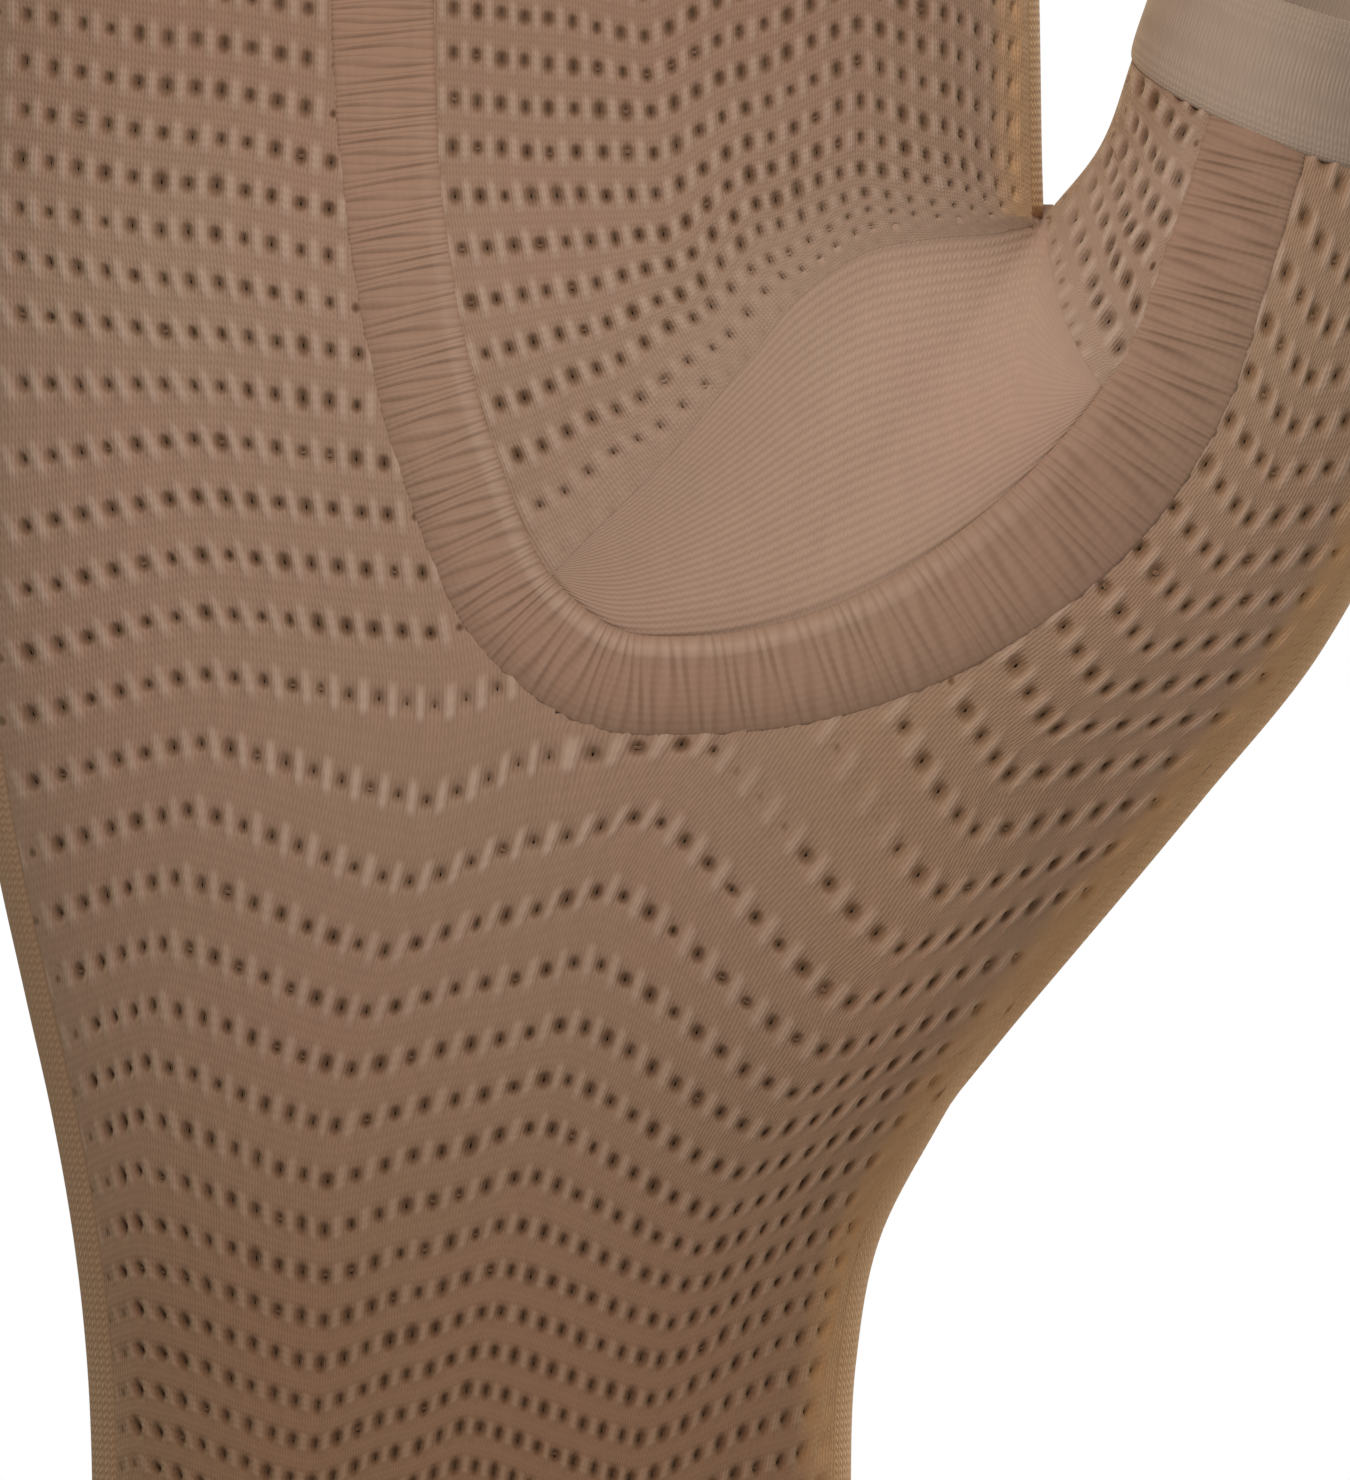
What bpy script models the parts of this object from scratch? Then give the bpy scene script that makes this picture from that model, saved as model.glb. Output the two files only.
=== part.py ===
"""Compression gauntlet for a left hand: a fingerless knitted glove with an open thumb sleeve.

The cloth keeps its worn form, with nothing inside it. Seen from the back of the hand
(along +Y), the fingers' end is up (+Z) and the thumb is to the right (+X). The origin is
the middle of the wrist at its narrowest section, where the wearer carries the glove.

One form gives every piece: the hand and the thumb are two tapered tubes that share a
middle surface, and a soft maximum of their depths joins them. The knitted zones are
walls between two offsets of that form, 0.3 mm apart at their seams.

Sizes in this file are millimetres; MM turns them into metres on the meshes.
"""

import math

import bmesh
import bpy
import numpy as np

MM = 0.001

# Driving dimensions
WALL = 1.2  # thickness of the knitted cloth
BAND_RAISED = 0.5  # how far the ribbed band stands above the cloth around it
HEM_RAISED = 0.35  # how far a doubled hem stands above the cloth
SEAM_GAP = 0.3  # clearance between neighbouring pieces

FOREARM_END = -60.0  # height of the open forearm end
FOREARM_HEM = 7.0  # width of the hem there
FINGER_END = 125.0  # height of the open finger end
FINGER_HEM = 6.0
THUMB_SEAM_LEAN = 20.2  # where the thumb's hem starts, by the lean of its axis
THUMB_END_LEAN = 17.4

# The hand's tube: a superellipse at each height, from its two side edges and two depths
HAND_COLUMNS = ("z", "left", "right", "front", "back", "power")
HAND_TABLE = (
    (-60.0, -31.0, 31.4, 23.0, 24.0, 2.1),
    (-30.0, -28.8, 29.0, 21.0, 22.0, 2.1),
    (0.0, -27.0, 27.2, 19.0, 19.5, 2.2),
    (10.0, -27.4, 27.6, 18.3, 19.6, 2.2),
    (19.0, -28.4, 29.4, 17.8, 20.0, 2.3),
    (27.0, -29.8, 33.6, 17.4, 20.6, 2.3),
    (36.0, -31.8, 38.9, 17.0, 21.0, 2.35),
    (46.0, -34.0, 42.0, 16.6, 20.6, 2.4),
    (60.0, -36.2, 42.8, 16.0, 19.4, 2.5),
    (78.0, -37.2, 41.8, 15.4, 17.6, 2.5),
    (92.0, -36.9, 41.0, 15.0, 16.4, 2.5),
    (107.0, -36.2, 40.7, 14.6, 15.4, 2.5),
    (125.0, -35.0, 40.2, 14.2, 14.8, 2.5),
)

# The thumb's tube, around an axis bent to an arc. lean is the axis's angle from +Z, and
# inner and outer are the tube's edges, measured across the axis from the arc.
ARC_RADIUS = 200.0
ARC_CENTRE = (-130.1, 168.4)
THUMB_COLUMNS = ("lean", "inner", "outer", "front", "back", "power")
THUMB_TABLE = (
    (16.0, -10.8, 10.6, 10.8, 10.8, 2.0),
    (20.2, -10.9, 11.2, 11.4, 11.4, 2.0),
    (22.3, -10.8, 15.0, 12.0, 12.2, 2.0),
    (24.1, -12.4, 17.4, 12.6, 13.4, 2.05),
    (26.5, -14.0, 19.2, 13.0, 14.8, 2.1),
    (29.4, -15.0, 19.3, 13.0, 16.0, 2.15),
    (33.0, -15.6, 17.5, 12.4, 16.6, 2.2),
    (38.0, -16.0, 16.0, 10.8, 16.2, 2.2),
    (43.0, -16.0, 16.0, 8.0, 14.0, 2.2),
    (50.0, -16.0, 14.0, 2.0, 6.0, 2.2),
)
BLEND = 9.0  # reach of the soft maximum between the two tubes
ARCH = 2.2  # how far the middle surface falls back at the hand's edges
ARCH_CENTRE = 2.5
ARCH_HALF = 38.0
THUMB_TILT = 0.22  # how far a thumb ring leans towards the back of the hand

# How the rings are divided, from the little-finger side to the thumb side
RIM_COLUMNS = 3
CROTCH_COLUMNS = 2
HAND_INSIDE = 9
THUMB_INSIDE = 4
HAND_SPLIT = RIM_COLUMNS + HAND_INSIDE + CROTCH_COLUMNS
COLUMNS = HAND_SPLIT + CROTCH_COLUMNS + THUMB_INSIDE + RIM_COLUMNS
RIM_LEFT = 6.0  # width, seen from the front, of the palm side's plain rim
RIM_RIGHT = 3.6
RIM_CROTCH = 1.6
COMMON_RINGS = 25
HAND_RINGS = 5
THUMB_RINGS = 4
NOTCH = 1.6  # depth of the palm side's notch around the crotch
DROOP_START = 12.0  # height where the rings start to turn with the thumb
SPLIT_START = 45.0  # height where the columns start to gather for the crotch
TURN_WIDTH = 9.0
TURN_LEAN = 24.0  # how far the rings lean on the thumb's side, in degrees
RING_POWER = 2.0  # a thumb ring leans along a plain ellipse
RIGHT_EDGE_RANGE = (15.0, 78.0)  # where a ring's thumb-side edge is looked for
CROTCH_RANGE = (70.0, 100.0)  # heights between which the crotch is looked for
SIDES = ("front", "back")

# The ribbed band: the middle of its path, and its width, as (x, z, width)
BAND_PATH = (
    (-6.4, 134.0, 7.5),
    (-6.2, 107.0, 7.5),
    (-5.0, 90.0, 7.3),
    (-1.3, 73.5, 7.3),
    (4.3, 62.2, 7.4),
    (9.6, 58.6, 7.4),
    (16.4, 58.1, 7.2),
    (27.5, 60.2, 8.0),
    (37.4, 65.4, 9.0),
    (44.6, 71.6, 9.2),
    (49.9, 79.0, 8.6),
    (53.4, 88.5, 8.0),
    (56.8, 99.5, 7.6),
    (63.0, 120.0, 7.6),
)
BAND_POINTS = 64

# The web gusset's two borders with the knitted mesh, as (x, z)
GUSSET_LEFT = (
    (0.5, 60.5),
    (5.6, 67.4),
    (13.6, 76.4),
    (19.3, 84.2),
    (24.4, 89.8),
    (31.5, 92.6),
    (37.0, 92.3),
    (40.8, 91.6),
)
GUSSET_RIGHT = ((41.5, 91.2), (42.0, 87.6), (43.2, 83.6), (45.8, 79.2), (50.0, 74.6))
GUSSET_POINTS = 26
CUTTER_DEPTH = 60.0
CUTTER_TOP = 141.0
BELOW_BAND = (30.0, 50.0)  # closes the gusset's cutter, outside the band's inner edge
INSIDE_FINGERS = -9.0  # the inner mesh's cutter ends here, past the band
CROTCH_CORNER = 41.0
SLEEVE_CORNERS = ((80.0, 90.0), (70.0, CUTTER_TOP), (41.7, CUTTER_TOP))


def smooth(at, knots, values, slopes=None):
    """A cubic through the knots, whose slope at each one comes from its neighbours."""
    slopes = np.gradient(values, knots) if slopes is None else slopes
    at = np.clip(at, knots[0], knots[-1])
    k = np.clip(np.searchsorted(knots, at) - 1, 0, len(knots) - 2)
    step = knots[k + 1] - knots[k]
    t = (at - knots[k]) / step
    rise = 3 * t**2 - 2 * t**3
    start = (t**3 - 2 * t**2 + t) * step * slopes[k]
    end = (t**3 - t**2) * step * slopes[k + 1]
    return values[k] * (1 - rise) + values[k + 1] * rise + start + end


def readings(table, columns):
    """Each named column of a table, ready to be read smoothly along its first column."""
    rows = np.array(table, float)
    knots = rows[:, 0]
    return {n: (knots, rows[:, i], np.gradient(rows[:, i], knots)) for i, n in enumerate(columns)}


HAND = readings(HAND_TABLE, HAND_COLUMNS)
THUMB = readings(THUMB_TABLE, THUMB_COLUMNS)


def hand(name, z):
    return smooth(z, *HAND[name])


def thumb(name, lean):
    return smooth(lean, *THUMB[name])


def ease(t):
    t = np.clip(t, 0.0, 1.0)
    return t * t * (3 - 2 * t)


def thumb_place(x, z):
    """The lean of the thumb's axis at a point, and the distance across the axis."""
    dx = np.asarray(x, float) - ARC_CENTRE[0]
    dz = np.asarray(z, float) - ARC_CENTRE[1]
    return np.degrees(np.arctan2(-dz, dx)), np.hypot(dx, dz) - ARC_RADIUS


def thumb_point(lean, across):
    """The point (x, z) at this lean and this distance across the thumb's axis."""
    turn = np.radians(lean)
    reach = ARC_RADIUS + across
    return ARC_CENTRE[0] + reach * np.cos(turn), ARC_CENTRE[1] - reach * np.sin(turn)


def dome(offset, half, depth, power):
    """A superellipse's depth at an offset from its middle, and 0 past its edge."""
    share = np.clip(np.abs(offset) / half, 0.0, 1.0)
    return depth * (1 - share**power) ** (1 / power)


def hand_depth(x, z, grow, side):
    left = hand("left", z) - grow
    right = hand("right", z) + grow
    depth = hand(side, z) + grow
    return dome(x - (left + right) / 2, (right - left) / 2, depth, hand("power", z))


def thumb_depth(x, z, grow, side):
    lean, across = thumb_place(x, z)
    inner = thumb("inner", lean) - grow
    outer = thumb("outer", lean) + grow
    depth = thumb(side, lean) + grow
    return dome(across - (inner + outer) / 2, (outer - inner) / 2, depth, thumb("power", lean))


def form_depth(x, z, grow, side):
    """Depth of the joined form: a soft maximum, which fades out where a tube is thin."""
    a = hand_depth(x, z, grow, side)
    b = thumb_depth(x, z, grow, side)
    reach = np.minimum(BLEND, 1.3 * np.minimum(a, b)) + 1e-9
    overlap = np.maximum(reach - np.abs(a - b), 0.0) / reach
    return np.maximum(a, b) + overlap**2 * reach / 4


def middle(x):
    """The middle surface between the front and the back of the form."""
    return ARCH * ((x - ARCH_CENTRE) / ARCH_HALF) ** 2


def form_point(x, z, grow, side):
    """The point of the form's front or back over (x, z)."""
    away = -1.0 if side == "front" else 1.0
    return np.array([x, middle(x) + away * form_depth(x, z, grow, side), z])


def bisect(inside, low, high):
    """The last value between low and high for which inside stays true."""
    for _ in range(48):
        mid = (low + high) / 2
        if inside(mid):
            low = mid
        else:
            high = mid
    return low


def crotch_height(grow):
    """The height at which the hand's side edge meets the thumb's inner edge."""

    def joined(z):
        lean, across = thumb_place(hand("right", z) + grow, z)
        return bool(across > thumb("inner", lean) - grow)

    return float(bisect(joined, *CROTCH_RANGE))


def rim(width, count):
    """Offsets from an edge over a rim, closest together at the edge."""
    return [width * (1 - math.cos(math.pi / 2 * i / count)) for i in range(count + 1)]


def lobe(start, end, rim_start, rim_end, inside):
    """Positions across one lobe: a rim at each end, and even steps between."""
    (w0, n0), (w1, n1) = rim_start, rim_end
    left = [start + d for d in rim(w0, n0)]
    right = [end - d for d in rim(w1, n1)][::-1]
    steps = np.linspace(left[-1], right[0], inside + 1)[1:-1]
    return left + list(steps) + right


def ring_columns(left, split, right, gather):
    """Positions of a ring's columns; gather runs from 0, one lobe, to 1, two lobes."""
    outer_left = (RIM_LEFT, RIM_COLUMNS)
    outer_right = (RIM_RIGHT, RIM_COLUMNS)
    one = lobe(left, right, outer_left, outer_right, COLUMNS - 2 * RIM_COLUMNS)
    near = (RIM_CROTCH, CROTCH_COLUMNS)
    hand_side = lobe(left, split, outer_left, near, HAND_INSIDE)
    thumb_side = lobe(split, right, near, outer_right, THUMB_INSIDE)
    two = hand_side + thumb_side[1:]
    return (1 - gather) * np.array(one) + gather * np.array(two)


def common_ring(level, top, split, grow):
    """A ring around hand and thumb below the crotch, as front and back points."""
    turned = ease((level - DROOP_START) / (top - DROOP_START))
    slope = math.tan(math.radians(TURN_LEAN)) * turned

    def height(x):
        past = x - split
        return level - slope * (past + np.sqrt(past**2 + TURN_WIDTH**2) - TURN_WIDTH) / 2

    def inside(x):
        z = height(x)
        lean, across = thumb_place(x, z)
        in_thumb = across < thumb("outer", lean) + grow and lean < THUMB_TABLE[-1][0]
        return bool(x < hand("right", z) + grow or in_thumb)

    left = float(hand("left", level)) - grow
    right = bisect(inside, *RIGHT_EDGE_RANGE)
    gather = ease((level - SPLIT_START) / (top - SPLIT_START))
    across = ring_columns(left, split, right, gather)
    return [[form_point(x, height(x), grow, side) for x in across] for side in SIDES]


def hand_ring(level, grow):
    left = float(hand("left", level)) - grow
    right = float(hand("right", level)) + grow
    across = lobe(left, right, (RIM_LEFT, RIM_COLUMNS), (RIM_CROTCH, CROTCH_COLUMNS), HAND_INSIDE)
    return [[form_point(x, level, grow, side) for x in across] for side in SIDES]


def thumb_ring(lean, tilt, grow):
    """A ring around the thumb, which leans back by tilt for each unit of its depth."""
    inner = float(thumb("inner", lean)) - grow
    outer = float(thumb("outer", lean)) + grow
    across = lobe(inner, outer, (RIM_CROTCH, CROTCH_COLUMNS), (RIM_RIGHT, RIM_COLUMNS), THUMB_INSIDE)
    rows = []
    for side in SIDES:
        away = -1.0 if side == "front" else 1.0
        row = []
        for s in across:
            offset, half = s - (inner + outer) / 2, (outer - inner) / 2
            depth = dome(offset, half, float(thumb(side, lean)), RING_POWER)
            slid = lean - math.degrees(away * tilt * depth / ARC_RADIUS)
            x, z = thumb_point(slid, s)
            row.append(form_point(x, z, grow, side))
        rows.append(row)
    return rows


class Skin:
    """One offset of the form: points and four-sided cells, each cell with its own key."""

    def __init__(self):
        self.points = []
        self.cells = {}

    def ring(self, rows, start=0):
        """Adds a ring's points. Its two end columns close it, front to back."""
        front, back = rows
        last = len(front) - 1
        ids = {}
        for k, point in enumerate(front):
            ids["front", start + k] = self.add(point)
        for k, point in enumerate(back):
            shared = k in (0, last)
            ids["back", start + k] = ids["front", start + k] if shared else self.add(point)
        return ids

    def add(self, point):
        self.points.append(np.asarray(point, float))
        return len(self.points) - 1

    def join(self, name, row, below, above, first, last):
        """The cells between two rings, from column first to column last."""
        for side in SIDES:
            for k in range(first, last):
                cell = [below[side, k], below[side, k + 1], above[side, k + 1], above[side, k]]
                self.cells[name, row, side, k] = cell if side == "front" else cell[::-1]


def glove_skin(grow):
    """The skin between the three hems: common rings, then the hand's and the thumb's."""
    skin = Skin()
    top = crotch_height(grow)
    split = float(hand("right", top)) + grow
    seam = FOREARM_END + FOREARM_HEM
    levels = list(np.linspace(seam, top - NOTCH, COMMON_RINGS)) + [top]
    rings = [skin.ring(common_ring(level, top, split, grow)) for level in levels]
    crotch = rings[-1]
    crotch["back", HAND_SPLIT] = crotch["front", HAND_SPLIT]
    for row in range(len(rings) - 1):
        skin.join("common", row, rings[row], rings[row + 1], 0, COLUMNS)
    below = crotch
    levels_above = np.linspace(top, FINGER_END - FINGER_HEM, HAND_RINGS + 1)[1:]
    for row, level in enumerate(levels_above):
        above = skin.ring(hand_ring(level, grow))
        skin.join("hand", row, below, above, 0, HAND_SPLIT)
        below = above
    below = crotch
    lean_top = float(thumb_place(split, top)[0])
    leans = np.linspace(lean_top, THUMB_SEAM_LEAN, THUMB_RINGS + 1)[1:]
    for row, lean in enumerate(leans):
        tilt = THUMB_TILT * (row + 1) / len(leans)
        above = skin.ring(thumb_ring(float(lean), tilt, grow), HAND_SPLIT)
        skin.join("thumb", row, below, above, HAND_SPLIT, COLUMNS)
        below = above
    skin.notch_row = len(levels) - 2
    return skin


def is_front(skin, key):
    """Whether a cell belongs to the back of the hand, inside the palm side's rims."""
    name, row, side, k = key
    near_crotch = HAND_SPLIT - CROTCH_COLUMNS <= k < HAND_SPLIT + CROTCH_COLUMNS
    if side != "front" or not RIM_COLUMNS <= k < COLUMNS - RIM_COLUMNS:
        return False
    return not (near_crotch and (name != "common" or row >= skin.notch_row))


def border_edges(cells):
    """The directed edges that only one cell has."""
    edges = {(c[i], c[(i + 1) % 4]) for c in cells for i in range(4)}
    return [edge for edge in edges if edge[::-1] not in edges]


def drawn_in(points, cells, border, gap):
    """The points, with those on the border moved by gap into the piece."""
    on_border = {a for a, _ in border}
    pulls = {a: np.zeros(3) for a in on_border}
    for cell in cells:
        for i, a in enumerate(cell):
            if a not in on_border:
                continue
            for b in (cell[i - 1], cell[(i + 1) % 4]):
                if (a, b) in border or (b, a) in border:
                    continue
                step = points[b] - points[a]
                pulls[a] += step / np.linalg.norm(step)
    moved = [p.copy() for p in points]
    for a, pull in pulls.items():
        size = np.linalg.norm(pull)
        if size > 1e-6:
            moved[a] = points[a] + pull / size * gap
    return moved


def wall(outer, inner, keys):
    """A closed wall over the chosen cells, between an outer and an inner skin."""
    layers = []
    for skin in (outer, inner):
        cells = [skin.cells[key] for key in keys]
        border = set(border_edges(cells))
        layers.append((drawn_in(skin.points, cells, border, SEAM_GAP / 2), cells, border))
    (outside, out_cells, out_border), (inside, in_cells, _) = layers
    shift = len(outside)
    faces = [tuple(c) for c in out_cells]
    faces += [tuple(i + shift for i in reversed(c)) for c in in_cells]
    faces += [(b, a, a + shift, b + shift) for a, b in out_border]
    return outside + inside, faces


def tidy_mesh(name, points, faces):
    """A mesh of the faces, with its unused points left out."""
    used = sorted({i for face in faces for i in face})
    place = {old: new for new, old in enumerate(used)}
    mesh = bpy.data.meshes.new(name)
    coordinates = [tuple(points[i] * MM) for i in used]
    mesh.from_pydata(coordinates, [], [tuple(place[i] for i in face) for face in faces])
    bm = bmesh.new()
    bm.from_mesh(mesh)
    bmesh.ops.recalc_face_normals(bm, faces=bm.faces)
    bmesh.ops.triangulate(bm, faces=bm.faces)
    bm.to_mesh(mesh)
    bm.free()
    mesh.shade_smooth()
    mesh.set_sharp_from_angle(angle=math.radians(40))
    return mesh


def material(name, colour, roughness):
    made = bpy.data.materials.new(name)
    made.use_nodes = True
    shader = made.node_tree.nodes["Principled BSDF"]
    shader.inputs["Base Color"].default_value = (*colour, 1.0)
    shader.inputs["Roughness"].default_value = roughness
    shader.inputs["Metallic"].default_value = 0.0
    return made


def add_piece(name, points, faces, finish):
    piece = bpy.data.objects.new(name, tidy_mesh(name, points, faces))
    bpy.context.collection.objects.link(piece)
    piece.data.materials.append(finish)
    return piece


def hem(rings, name, finish):
    """A tubular hem through rings given as (outer rows, inner rows)."""
    skins = []
    for layer in (0, 1):
        skin = Skin()
        ids = [skin.ring(pair[layer]) for pair in rings]
        last = len(rings[0][layer][0]) - 1
        for row in range(len(ids) - 1):
            skin.join("hem", row, ids[row], ids[row + 1], 0, last)
        skins.append(skin)
    return add_piece(name, *wall(*skins, list(skins[0].cells)), finish)


def path_curve(rows, count):
    """Points along a smooth curve through the rows, evenly spread by its length."""
    rows = np.array(rows, float)
    along = np.concatenate([[0.0], np.cumsum(np.hypot(*np.diff(rows[:, :2], axis=0).T))])
    at = np.linspace(0.0, along[-1], count)
    return np.stack([smooth(at, along, rows[:, c]) for c in range(rows.shape[1])], axis=1)


def band_edge(side, shift):
    """The band's edge, left of its path for side 1 and right for -1, moved out by shift."""
    path = path_curve(BAND_PATH, BAND_POINTS)
    along = np.gradient(path[:, :2], axis=0)
    along /= np.linalg.norm(along, axis=1)[:, None]
    left = np.stack([along[:, 1], -along[:, 0]], axis=1)
    return path[:, :2] + side * left * (path[:, 2:] / 2 + shift)


def offset_curve(rows, shift):
    """A border's curve, moved by shift to the left of its direction."""
    curve = path_curve(rows, GUSSET_POINTS)
    along = np.gradient(curve, axis=0)
    along /= np.linalg.norm(along, axis=1)[:, None]
    return curve + shift * np.stack([-along[:, 1], along[:, 0]], axis=1)


def prism(name, outline):
    """A cutter through the front of the glove, with this outline in x and z."""
    count = len(outline)
    points = []
    for y in (-CUTTER_DEPTH, CUTTER_DEPTH):
        points += [np.array([x, y, z]) for x, z in outline]
    faces = [tuple(range(count)), tuple(range(2 * count - 1, count - 1, -1))]
    for i in range(count):
        j = (i + 1) % count
        faces.append((j, i, i + count, j + count))
    used = tidy_mesh(name, points, faces)
    cutter = bpy.data.objects.new(name, used)
    bpy.context.collection.objects.link(cutter)
    cutter.hide_render = True
    cutter.display_type = "WIRE"
    return cutter


def cut(piece, cutter, operation):
    change = piece.modifiers.new(f"{operation.lower()} {cutter.name}", "BOOLEAN")
    change.operation = operation
    change.object = cutter
    change.solver = "EXACT"


def build_hems(finish):
    forearm = [FOREARM_END, FOREARM_END + FOREARM_HEM]
    finger = [FINGER_END - FINGER_HEM, FINGER_END]

    def level_rings(ends, make):
        return [(make(z, HEM_RAISED), make(z, -WALL)) for z in ends]

    top = crotch_height(0.0)
    split = float(hand("right", top))
    hem(level_rings(forearm, lambda z, grow: common_ring(z, top, split, grow)), "forearm_hem", finish)
    hem(level_rings(finger, hand_ring), "finger_hem", finish)
    leans = np.linspace(THUMB_SEAM_LEAN, THUMB_END_LEAN, 3)
    thumb_rings = [
        (thumb_ring(lean, THUMB_TILT, HEM_RAISED), thumb_ring(lean, THUMB_TILT, -WALL))
        for lean in leans
    ]
    hem(thumb_rings, "thumb_hem", finish)


def build_cutters():
    """The zones of the back of the hand, as prisms half a seam gap inside their borders."""
    half = SEAM_GAP / 2
    outside = band_edge(1, half)
    band_out = band_edge(1, -half)
    band_in = band_edge(-1, -half)
    inside = band_edge(-1, half)
    whole = prism("cut_inside_band_outer_edge", list(outside))
    band = prism("cut_band", list(band_out) + list(band_in[::-1]))

    left_out = offset_curve(GUSSET_LEFT, half)
    left_in = offset_curve(GUSSET_LEFT, -half)
    right_in = offset_curve(GUSSET_RIGHT, -half)
    right_out = offset_curve(GUSSET_RIGHT, half)
    area_inside = prism("cut_inside_band_inner_edge", list(inside))
    gusset = prism("cut_gusset", list(left_in) + list(right_in) + [BELOW_BAND])
    corners = [(CROTCH_CORNER, CUTTER_TOP), (INSIDE_FINGERS, CUTTER_TOP)]
    mesh = prism("cut_inner_mesh", list(left_out) + corners)
    sleeve = prism("cut_thumb", list(right_out) + list(SLEEVE_CORNERS))
    return whole, band, area_inside, gusset, mesh, sleeve


def main():
    for thing in list(bpy.data.objects):
        bpy.data.objects.remove(thing)

    knit = material("knit", (0.27, 0.18, 0.125), 0.85)
    plain = material("plain_knit", (0.32, 0.21, 0.15), 0.85)
    hem_finish = material("hem", (0.30, 0.24, 0.20), 0.8)

    cloth = glove_skin(0.0)
    lining = glove_skin(-WALL)
    raised = glove_skin(BAND_RAISED)
    front = [key for key in cloth.cells if is_front(cloth, key)]
    palm = [key for key in cloth.cells if not is_front(cloth, key)]

    add_piece("palm_panel", *wall(cloth, lining, palm), plain)
    build_hems(hem_finish)

    whole, band, inside, gusset, mesh, sleeve = build_cutters()
    zones = (
        ("main_mesh", cloth, knit, ((whole, "DIFFERENCE"),)),
        ("u_band", raised, plain, ((band, "INTERSECT"),)),
        ("inner_mesh", cloth, knit, ((inside, "INTERSECT"), (mesh, "INTERSECT"))),
        ("web_gusset", cloth, plain, ((inside, "INTERSECT"), (gusset, "INTERSECT"))),
        ("thumb_mesh", cloth, knit, ((inside, "INTERSECT"), (sleeve, "INTERSECT"))),
    )
    for name, skin, finish, cuts in zones:
        piece = add_piece(name, *wall(skin, lining, front), finish)
        for cutter, operation in cuts:
            cut(piece, cutter, operation)


main()
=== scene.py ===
# %% [markdown]
# # A knitted compression gauntlet
#
# A fingerless medical glove for a left hand, knitted in one go from elastic beige yarn. Most of
# it is an openwork knit whose rows of eyelets run in waves. A ribbed band in the shape of a U
# frames the back of the fingers and carries the thumb, a plain web closes the fork between
# forefinger and thumb, and doubled hems finish the three open ends.
#
# The frame holds the plain solids of the nine pieces. This script gives each of them its cloth:
# thin shells on the same form, with real holes, ribs and stitches.

# %% Load the frame
import math

import bpy
import numpy as np
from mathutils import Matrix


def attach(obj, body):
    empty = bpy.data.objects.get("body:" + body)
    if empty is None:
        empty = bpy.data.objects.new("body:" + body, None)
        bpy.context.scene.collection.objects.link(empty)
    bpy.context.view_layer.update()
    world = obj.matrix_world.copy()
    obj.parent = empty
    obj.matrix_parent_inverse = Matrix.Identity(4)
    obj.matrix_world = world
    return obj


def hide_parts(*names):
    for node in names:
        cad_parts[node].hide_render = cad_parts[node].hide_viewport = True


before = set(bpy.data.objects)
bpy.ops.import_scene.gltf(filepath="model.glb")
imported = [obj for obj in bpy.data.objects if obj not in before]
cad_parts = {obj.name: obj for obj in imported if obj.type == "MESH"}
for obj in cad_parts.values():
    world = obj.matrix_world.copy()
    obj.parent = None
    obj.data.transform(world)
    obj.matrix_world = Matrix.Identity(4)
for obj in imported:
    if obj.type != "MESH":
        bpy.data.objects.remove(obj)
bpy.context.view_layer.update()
MM = 0.001  # sizes below are millimetres
print("nodes in the frame:", ", ".join(sorted(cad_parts)))

# %% [markdown]
# ## The form of the worn glove
#
# Every piece lies on one form: two tapered tubes, the hand and the thumb, joined by a soft
# maximum. It could be sculpted or shrink-wrapped, but as a function of x and z the same form
# gives every piece its place, and any offset of it is a seam allowance or a raised band. The
# two tables read like a tailor's measurements, one row for each height or lean.

# %% The measurements
FOREARM_END, FOREARM_HEM = -60.0, 7.0
FINGER_END, FINGER_HEM = 125.0, 6.0
THUMB_SEAM_LEAN, THUMB_END_LEAN = 20.2, 17.4

HAND_COLUMNS = ("z", "left", "right", "front", "back", "power")
HAND_TABLE = (
    (-60.0, -31.0, 31.4, 23.0, 24.0, 2.1),
    (-30.0, -28.8, 29.0, 21.0, 22.0, 2.1),
    (0.0, -27.0, 27.2, 19.0, 19.5, 2.2),
    (10.0, -27.4, 27.6, 18.3, 19.6, 2.2),
    (19.0, -28.4, 29.4, 17.8, 20.0, 2.3),
    (27.0, -29.8, 33.6, 17.4, 20.6, 2.3),
    (36.0, -31.8, 38.9, 17.0, 21.0, 2.35),
    (46.0, -34.0, 42.0, 16.6, 20.6, 2.4),
    (60.0, -36.2, 42.8, 16.0, 19.4, 2.5),
    (78.0, -37.2, 41.8, 15.4, 17.6, 2.5),
    (92.0, -36.9, 41.0, 15.0, 16.4, 2.5),
    (107.0, -36.2, 40.7, 14.6, 15.4, 2.5),
    (125.0, -35.0, 40.2, 14.2, 14.8, 2.5),
)
ARC_RADIUS = 200.0  # the thumb's middle line is an arc of this radius
ARC_CENTRE = (-130.1, 168.4)
THUMB_COLUMNS = ("lean", "inner", "outer", "front", "back", "power")
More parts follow.
